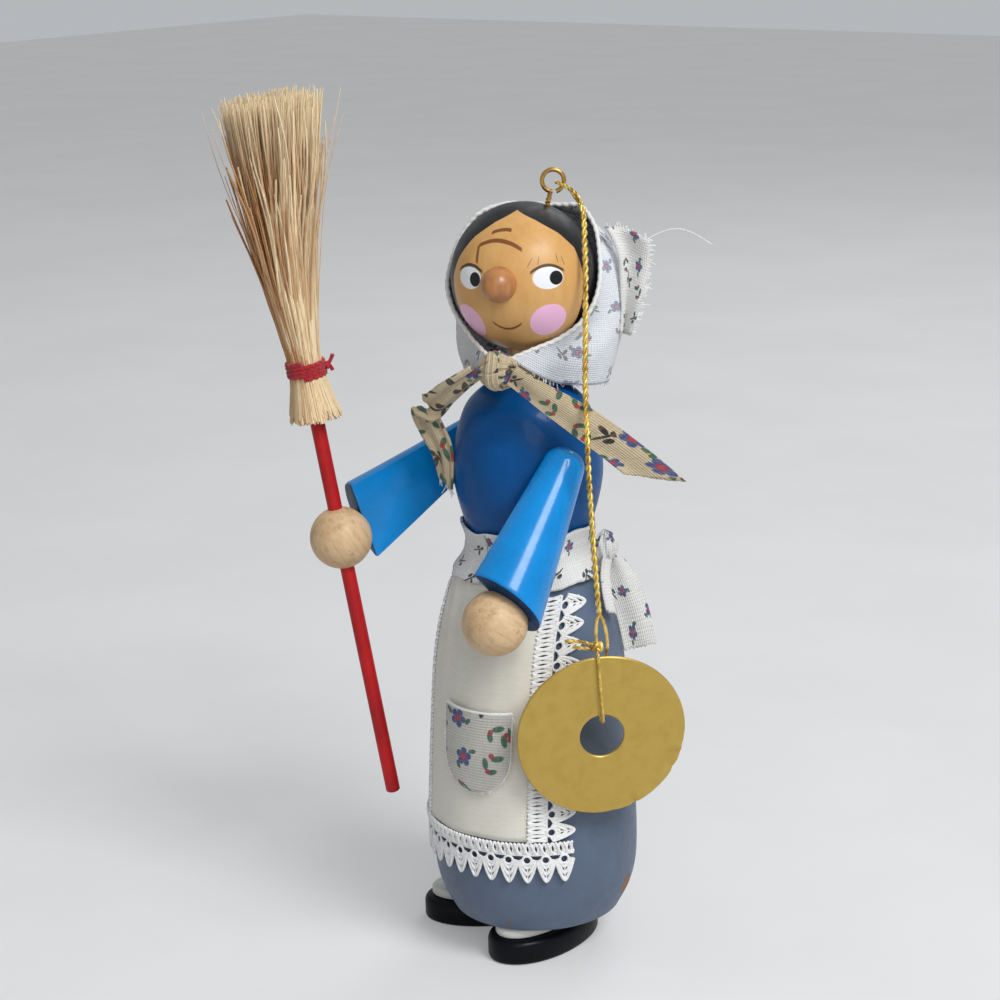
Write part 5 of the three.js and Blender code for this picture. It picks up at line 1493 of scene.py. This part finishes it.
def make_corner():
    """The kerchief's back corner, standing out from the hood with a frayed edge."""
    turn = math.radians(CORNER_TURN)
    head_turn = math.radians(HEAD_TURN)
    rows = []
    for i in range(21):
        share = i / 20
        h = lerp(6.1, -8.4, share)
        inner = hood_radius(turn - head_turn, h) + hood_slack(turn - head_turn, h) + 0.3
        outer = inner + lerp(5.6, 1.3, share ** 0.8)
        row = []
        for j in range(15):
            spot = j / 14
            bend = 0.75 * math.sin(TURN * spot * 0.8) + 0.3 * math.sin(7 * share) * spot
            radius = lerp(inner, outer, spot)
            lift = (0.4 * math.sin(math.pi * spot) - 1.6 * spot) * (1 - share)
            row.append(around(radius, turn + bend / radius, HEAD_Z + h + lift))
        rows.append(row)
    cloth_piece("kerchief_corner_flap", "kerchief_corner", PRINT, rows, (7, 13), (20, 30))
    threads = Form()
    out = around(1, turn, 0)
    fray(threads, [row[-1] for row in rows], out, length=0.8, count=46, seed=21)
    fray(threads, rows[0], Vector((0, 0, 1)), length=0.6, count=16, seed=22)
    loose = []
    for t in spread(0, 1, 20):
        loose.append(rows[0][-1] + out * 8.5 * t + Vector((0, 0, 1.5 * math.sin(3.4 * t) - 0.6 * t)))
    threads.tube(loose, 0.055, 5)
    return threads.piece("kerchief_corner_fray", "print_cloth", LACE)


hood_cloth, hood_hem = make_hood()
tail_fray = make_tails()
knot_cloth, knot_wrap = make_knot()
corner_fray = make_corner()


# Apron

def on_skirt(lift, arc, z):
    radius = body_radius(z) + lift
    return around(radius, arc / radius, z)


def make_apron():
    top, foot = APRON_Z
    rows = []
    for z in spread(top, foot, 44):
        row = []
        for arc in spread(-APRON_HALF, APRON_HALF, 40):
            share = (top - z) / (top - foot)
            gather = 0.1 * math.sin(2.1 * arc) * (1 - share) ** 2 + 0.06 * math.sin(0.8 * arc + 3 * share)
            row.append(on_skirt(APRON_LIFT + gather, arc, z))
        rows.append(row)
    size = (2 * APRON_HALF, top - foot)
    return cloth_piece("apron_cloth_panel", "apron_panel", IVORY, rows, size, slot="apron_cloth")


def lace_run(form, place, count, valley, width):
    """Bobbin lace in thread: a ladder of thick loops, a row of eyelets and nested loops to each scallop."""
    pitch = LACE_PITCH
    run = count * pitch
    eyelet = valley - 0.75
    form.tube([place(s, eyelet - 0.85, 0) for s in spread(0, run, count * 8)], LACE_THREAD, 6)
    rungs = round(run / LACE_RUNG)
    for shift in (0, 0.5):
        path = []
        for t in spread(0, rungs, rungs * 12):
            wave = 0.5 - 0.5 * math.cos(TURN * (t + shift))
            rise = 0.34 * (1 - wave) + 0.1 * math.sin(TURN * t)
            path.append(place(t / rungs * run, wave * (eyelet - 0.95), rise))
        form.tube(path, LACE_LADDER, 6)
    for n in range(count):
        middle = (n + 0.5) * pitch
        hole = []
        for t in spread(0, TURN, 20):
            aside, out = LACE_EYELET * math.sin(t), LACE_EYELET * math.cos(t)
            hole.append(place(middle + aside, eyelet - 0.1 + out, 0.08))
        form.tube(hole, LACE_THREAD, 6)
        for reach, size in LACE_LOOPS:
            half = pitch * 0.5 * lerp(0.42, 1, reach)
            tall = (width - eyelet) * reach
            loop = []
            for t in spread(-1, 1, 18):
                across = eyelet - 0.35 + 0.35 * reach + (1 - abs(t) ** 1.5) * tall
                loop.append(place(middle + half * t, across, 0.14 * (1 - reach)))
            form.tube(loop, size, 6)
        for t in (-0.5, 0, 0.5):
            spoke = [
                place(middle + t * pitch * 0.72 * s, lerp(eyelet + 0.4, width - 0.35 - abs(t) * 1.7, s), 0)
                for s in spread(0, 1, 4)
            ]
            form.tube(spoke, LACE_SPOKE, 5)


def make_lace():
    foot = APRON_Z[1]
    count = int((APRON_Z[0] - foot) / LACE_PITCH)
    pieces = []
    for side, sign in (("left", 1), ("right", -1)):
        lace = Form()

        def on_side(s, across, rise, sign=sign):
            return on_skirt(APRON_LIFT + rise, sign * (APRON_HALF + 0.1 + across), foot + s)

        lace_run(lace, on_side, count, LACE_VALLEY, LACE_WIDTH)
        pieces.append(
            lace.piece(f"apron_lace_{side}_threads", "lace", LACE, [f"apron_lace_{side}"])
        )
    half = APRON_HALF + 0.3 + LACE_WIDTH
    count = int(2 * half / LACE_PITCH)
    lace = Form()

    def on_hem(s, across, rise):
        return on_skirt(APRON_LIFT + rise, s - count * LACE_PITCH / 2, foot - 0.2 - across)

    lace_run(lace, on_hem, count, HEM_LACE_WIDTH - HEM_SCALLOP, HEM_LACE_WIDTH)
    pieces.append(lace.piece("apron_lace_hem_threads", "lace", LACE, ["apron_lace_hem"]))
    return pieces


def make_pocket():
    """Shield-shaped pocket with a raw edge."""
    top, foot = POCKET_Z
    rows = []
    for i in range(31):
        share = i / 30
        rounding = max(0, (share - 0.55) / 0.45) ** 2.2
        half = POCKET_WIDTH / 2 * (1 - 0.06 * share) * math.sqrt(max(0.02, 1 - rounding))
        z = lerp(top, foot, share)
        row = []
        for spot in spread(-1, 1, 28):
            middle = math.radians(POCKET_TURN) * (body_radius(z) + POCKET_LIFT)
            puff = 0.3 * (1 - spot * spot) * math.sin(math.pi * min(1, share * 0.9 + 0.1))
            dip = 0.35 * (1 - spot * spot) * (1 - share) ** 3
            row.append(on_skirt(POCKET_LIFT + puff, middle + half * spot, z - dip))
        rows.append(row)
    pocket = Form()
    pocket.grid(rows, places=lambda i, j: (100 + i / 30 * 11.4, 3 + (j / 28) * 10.6))
    pocket.piece(
        "apron_pocket_cloth", "print_cloth", PRINT_RIBBED, ["apron_pocket"], CLOTH, CLOTH_SMOOTH
    )
    trim = Form()
    border = [row[0] for row in rows] + rows[-1] + [row[-1] for row in reversed(rows)]
    trim.tube(border[::2], 0.17, 6)
    trim.tube([p + Vector((0, 0, 0.05)) for p in rows[0]], 0.22, 6)
    for column, turn, seed in ((0, -70, 31), (-1, 80, 32)):
        side = [row[column] for row in rows]
        fray(trim, side, around(1, math.radians(turn), -0.2), length=0.5, count=40, seed=seed, radius=0.045)
    trim.piece("apron_pocket_edge", "print_cloth", LACE)


def make_waistband():
    """Gathered band of printed cloth round the waist."""
    low, high = BAND_Z
    rows = []
    for share in spread(0, 1, 22):
        row = []
        for k in range(180):
            turn = TURN * k / 180
            foot = low - BAND_OVERLAP + 0.3 * math.sin(4 * turn + 1) + 0.12 * math.sin(11 * turn)
            top = high + 0.3 * math.sin(5 * turn) + 0.1 * math.sin(13 * turn + 2)
            z = lerp(foot, top, share)
            wave = TURN * 2.2 * share + 0.9 * math.sin(3 * turn)
            crease = 0.14 * math.sin(wave) * math.sin(math.pi * share)
            gather = 0.08 * math.sin(26 * turn + 2.5 * math.sin(5 * turn)) * (1 - share)
            lift = lerp(0.95, 0.5, smoothstep(0, 0.25, share))
            row.append(around(body_radius(z) + lift + crease + gather, turn, z))
        rows.append(row)
    band = Form()
    band.grid(rows, closed=True, places=lambda i, j: (j / 180 * 60, 60 + i / 22 * 7))
    band.piece("apron_waist_band", "print_cloth", PRINT, ["apron_waistband"], CLOTH, CLOTH_SMOOTH)


def make_tie():
    turn = math.radians(TIE_TURN)
    knot_z = sum(BAND_Z) / 2
    along_skirt = Vector((math.cos(turn), math.sin(turn), 0))
    knot_out = body_radius(knot_z) + 0.9 + 0.3 + 1.5

    def place(out, aside, z):
        return around(out, turn, z) + along_skirt * aside

    def pleats(angle, tilt):
        return 1 + 0.07 * math.sin(9 * angle + 3 * tilt) + 0.04 * math.sin(19 * angle)

    cloth_lump(
        "apron_tie_knot_cloth", "apron_tie_knot", PRINT, TIE_KNOT_SIZE, (56, 26), pleats, (150, 0), 1.8,
        Matrix.Translation(place(knot_out, 0, knot_z)) @ turned_about("Z", TIE_TURN),
    )

    def hanging(route):
        return [place(body_radius(knot_z - d) + lift, aside, knot_z - d) for lift, aside, d in route]

    outwards = around(1, math.radians(135), 0)
    tail_path = hanging([(2.6, 0.4, 1.2), (2.8, 0.6, 4.5), (2.75, 0.8, 9.0), (2.7, 0.9, 14.4)])
    rows = strip_rows(
        tail_path, lambda s: lerp(2.0, 4.5, smoothstep(0, 0.45, s)), [outwards] * 3,
        pleats=1, pleat=0.25, steps=36, places=20, skew=0.0, seed=8,
    )
    cloth_piece("apron_tie_leaf", "apron_tie_tail", PRINT, rows, (6, 12), (170, 0), THIN_CLOTH)
    end_path = hanging([(2.6, -0.8, 1.2), (1.7, -2.4, 4.0), (1.1, -3.4, 8.4)])
    rows = strip_rows(
        end_path, lambda s: lerp(1.8, 3.0, s), [along_skirt] * 3,
        pleats=1, pleat=0.3, steps=26, places=16, skew=0.5, seed=9,
    )
    cloth_piece("apron_tie_short", "apron_tie_end", PRINT, rows, (4, 9), (190, 5))


APRON = make_apron()
APRON_LACE = make_lace()
make_pocket()
make_waistband()
make_tie()


# Screw eye

def make_screw_eye():
    eye = Form()
    ring_height = EYE_SHANK + EYE_RING
    shank = [(0.02, -6.0), (EYE_WIRE * 0.7, -5.4)]
    shank += [(EYE_WIRE, z) for z in spread(-5, EYE_SHANK, 6)] + [(EYE_WIRE * 0.8, EYE_SHANK + EYE_WIRE)]
    eye.lathe(shank, 16)
    thread = []
    for t in spread(0, TURN * 3, 60):
        thread.append(Vector((0.3 * math.cos(t), 0.3 * math.sin(t), lerp(-0.2, 1.15, t / (TURN * 3)))))
    eye.tube(thread, 0.12, 5)
    face = math.radians(EYE_TURN) - EYE_LEAN
    open_gap = 0.16
    ring = []
    for t in spread(open_gap, TURN - open_gap, 64):
        angle = t - math.pi / 2 + 0.35
        across = EYE_RING * math.cos(angle)
        up = ring_height + EYE_RING * math.sin(angle)
        ring.append(Vector((across * math.cos(face), across * math.sin(face), up)))
    eye.tube(ring, EYE_WIRE, 12)
    eye.moved(EYE_PLACE)
    eye.piece("screw_eye_wire", "brass", BRASS, ["screw_eye"])


make_screw_eye()


# Inner dowels and pegs keep their solids and get grained wood

for node in ("waist_dowel", "neck_dowel", "left_shoulder_peg", "right_shoulder_peg", "left_wrist_peg",
             "right_wrist_peg", "left_foot_peg", "right_foot_peg"):
    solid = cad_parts[node]
    solid.data.materials.clear()
    solid.data.materials.append(PALE_WOOD)


# Cloth: the area of one side of the hood's sheet

def sheet_area(piece):
    """Surface of one side of a piece's mesh, in square metres."""
    return sum(face.area for face in piece.data.polygons)


sheet_area(hood_cloth)


# Floor, world and lamps

FLOOR_GLOW = 0.2
FLOOR_HALF = 1500
FLOOR_TONES = ((203, 203, 204), (208, 208, 209))
SKY = (0.92, 0.96, 1.0, 1)
WORLD_LIGHT = 0.3
WORLD_SEEN = 0.5
LIGHT_AIM = (0, 0, 0.055)
# Azimuth and elevation in degrees, distance and size in metres, power in watts
LAMPS = {
    "key": (78, 46, 0.7, 0.3, 3.1),
    "fill": (52, 32, 0.8, 0.5, 1.2),
    "rim": (195, 42, 0.7, 0.35, 0.8),
}


def seen_rays(g):
    """1 for rays that show a surface: straight, in gloss or through glass."""
    rays = g.node("ShaderNodeLightPath").outputs
    return largest(g, [rays["Is Camera Ray"], rays["Is Glossy Ray"], rays["Is Transmission Ray"]])


def make_stage():
    across = spread(-FLOOR_HALF, FLOOR_HALF, 2)
    floor = Form()
    floor.grid([[(x, y, 0) for x in across] for y in across])
    g = Graph(bpy.data.materials.new("floor"))
    mm = g.place()
    tone = g.mix(g.ramp(g.noise(mm, 0.02, 3), 0.3, 0.7), *FLOOR_TONES)
    g.finish(tone, 0.75, emission_color=(255, 255, 255))
    g.link(g.times(seen_rays(g), FLOOR_GLOW), g.shader.inputs["Emission Strength"])
    mesh = bpy.data.meshes.new("floor")
    mesh.from_pydata([p * MM for p in floor.points], [], floor.faces)
    mesh.materials.append(g.owner)
    ground = bpy.data.objects.new("floor", mesh)
    bpy.context.scene.collection.objects.link(ground)
    ground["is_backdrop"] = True


def add_area(name, azimuth, elevation, distance, size, power):
    data = bpy.data.lights.new(name, "AREA")
    data.shape = "DISK"
    data.size = size
    data.energy = power
    lamp = bpy.data.objects.new(name, data)
    out = direction(math.radians(azimuth), math.radians(elevation))
    lamp.location = Vector(LIGHT_AIM) + out * distance
    lamp.rotation_euler = out.to_track_quat("Z", "Y").to_euler()
    bpy.context.scene.collection.objects.link(lamp)


def make_light():
    world = bpy.data.worlds.new("studio")
    g = Graph(world)
    back = g.tree.nodes["Background"].inputs
    back["Color"].default_value = SKY
    strength = {"Value": seen_rays(g), "To Min": WORLD_LIGHT, "To Max": WORLD_SEEN}
    g.link(g.node("ShaderNodeMapRange", strength).outputs[0], back["Strength"])
    bpy.context.scene.world = world
    for name, place in LAMPS.items():
        add_area(name, *place)
    bpy.context.scene.view_settings.view_transform = "Standard"


make_stage()
make_light()

boxes = {"cad": CAD_BOX, "visual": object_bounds()}
{key: [list(corner) for corner in box] for key, box in boxes.items()}
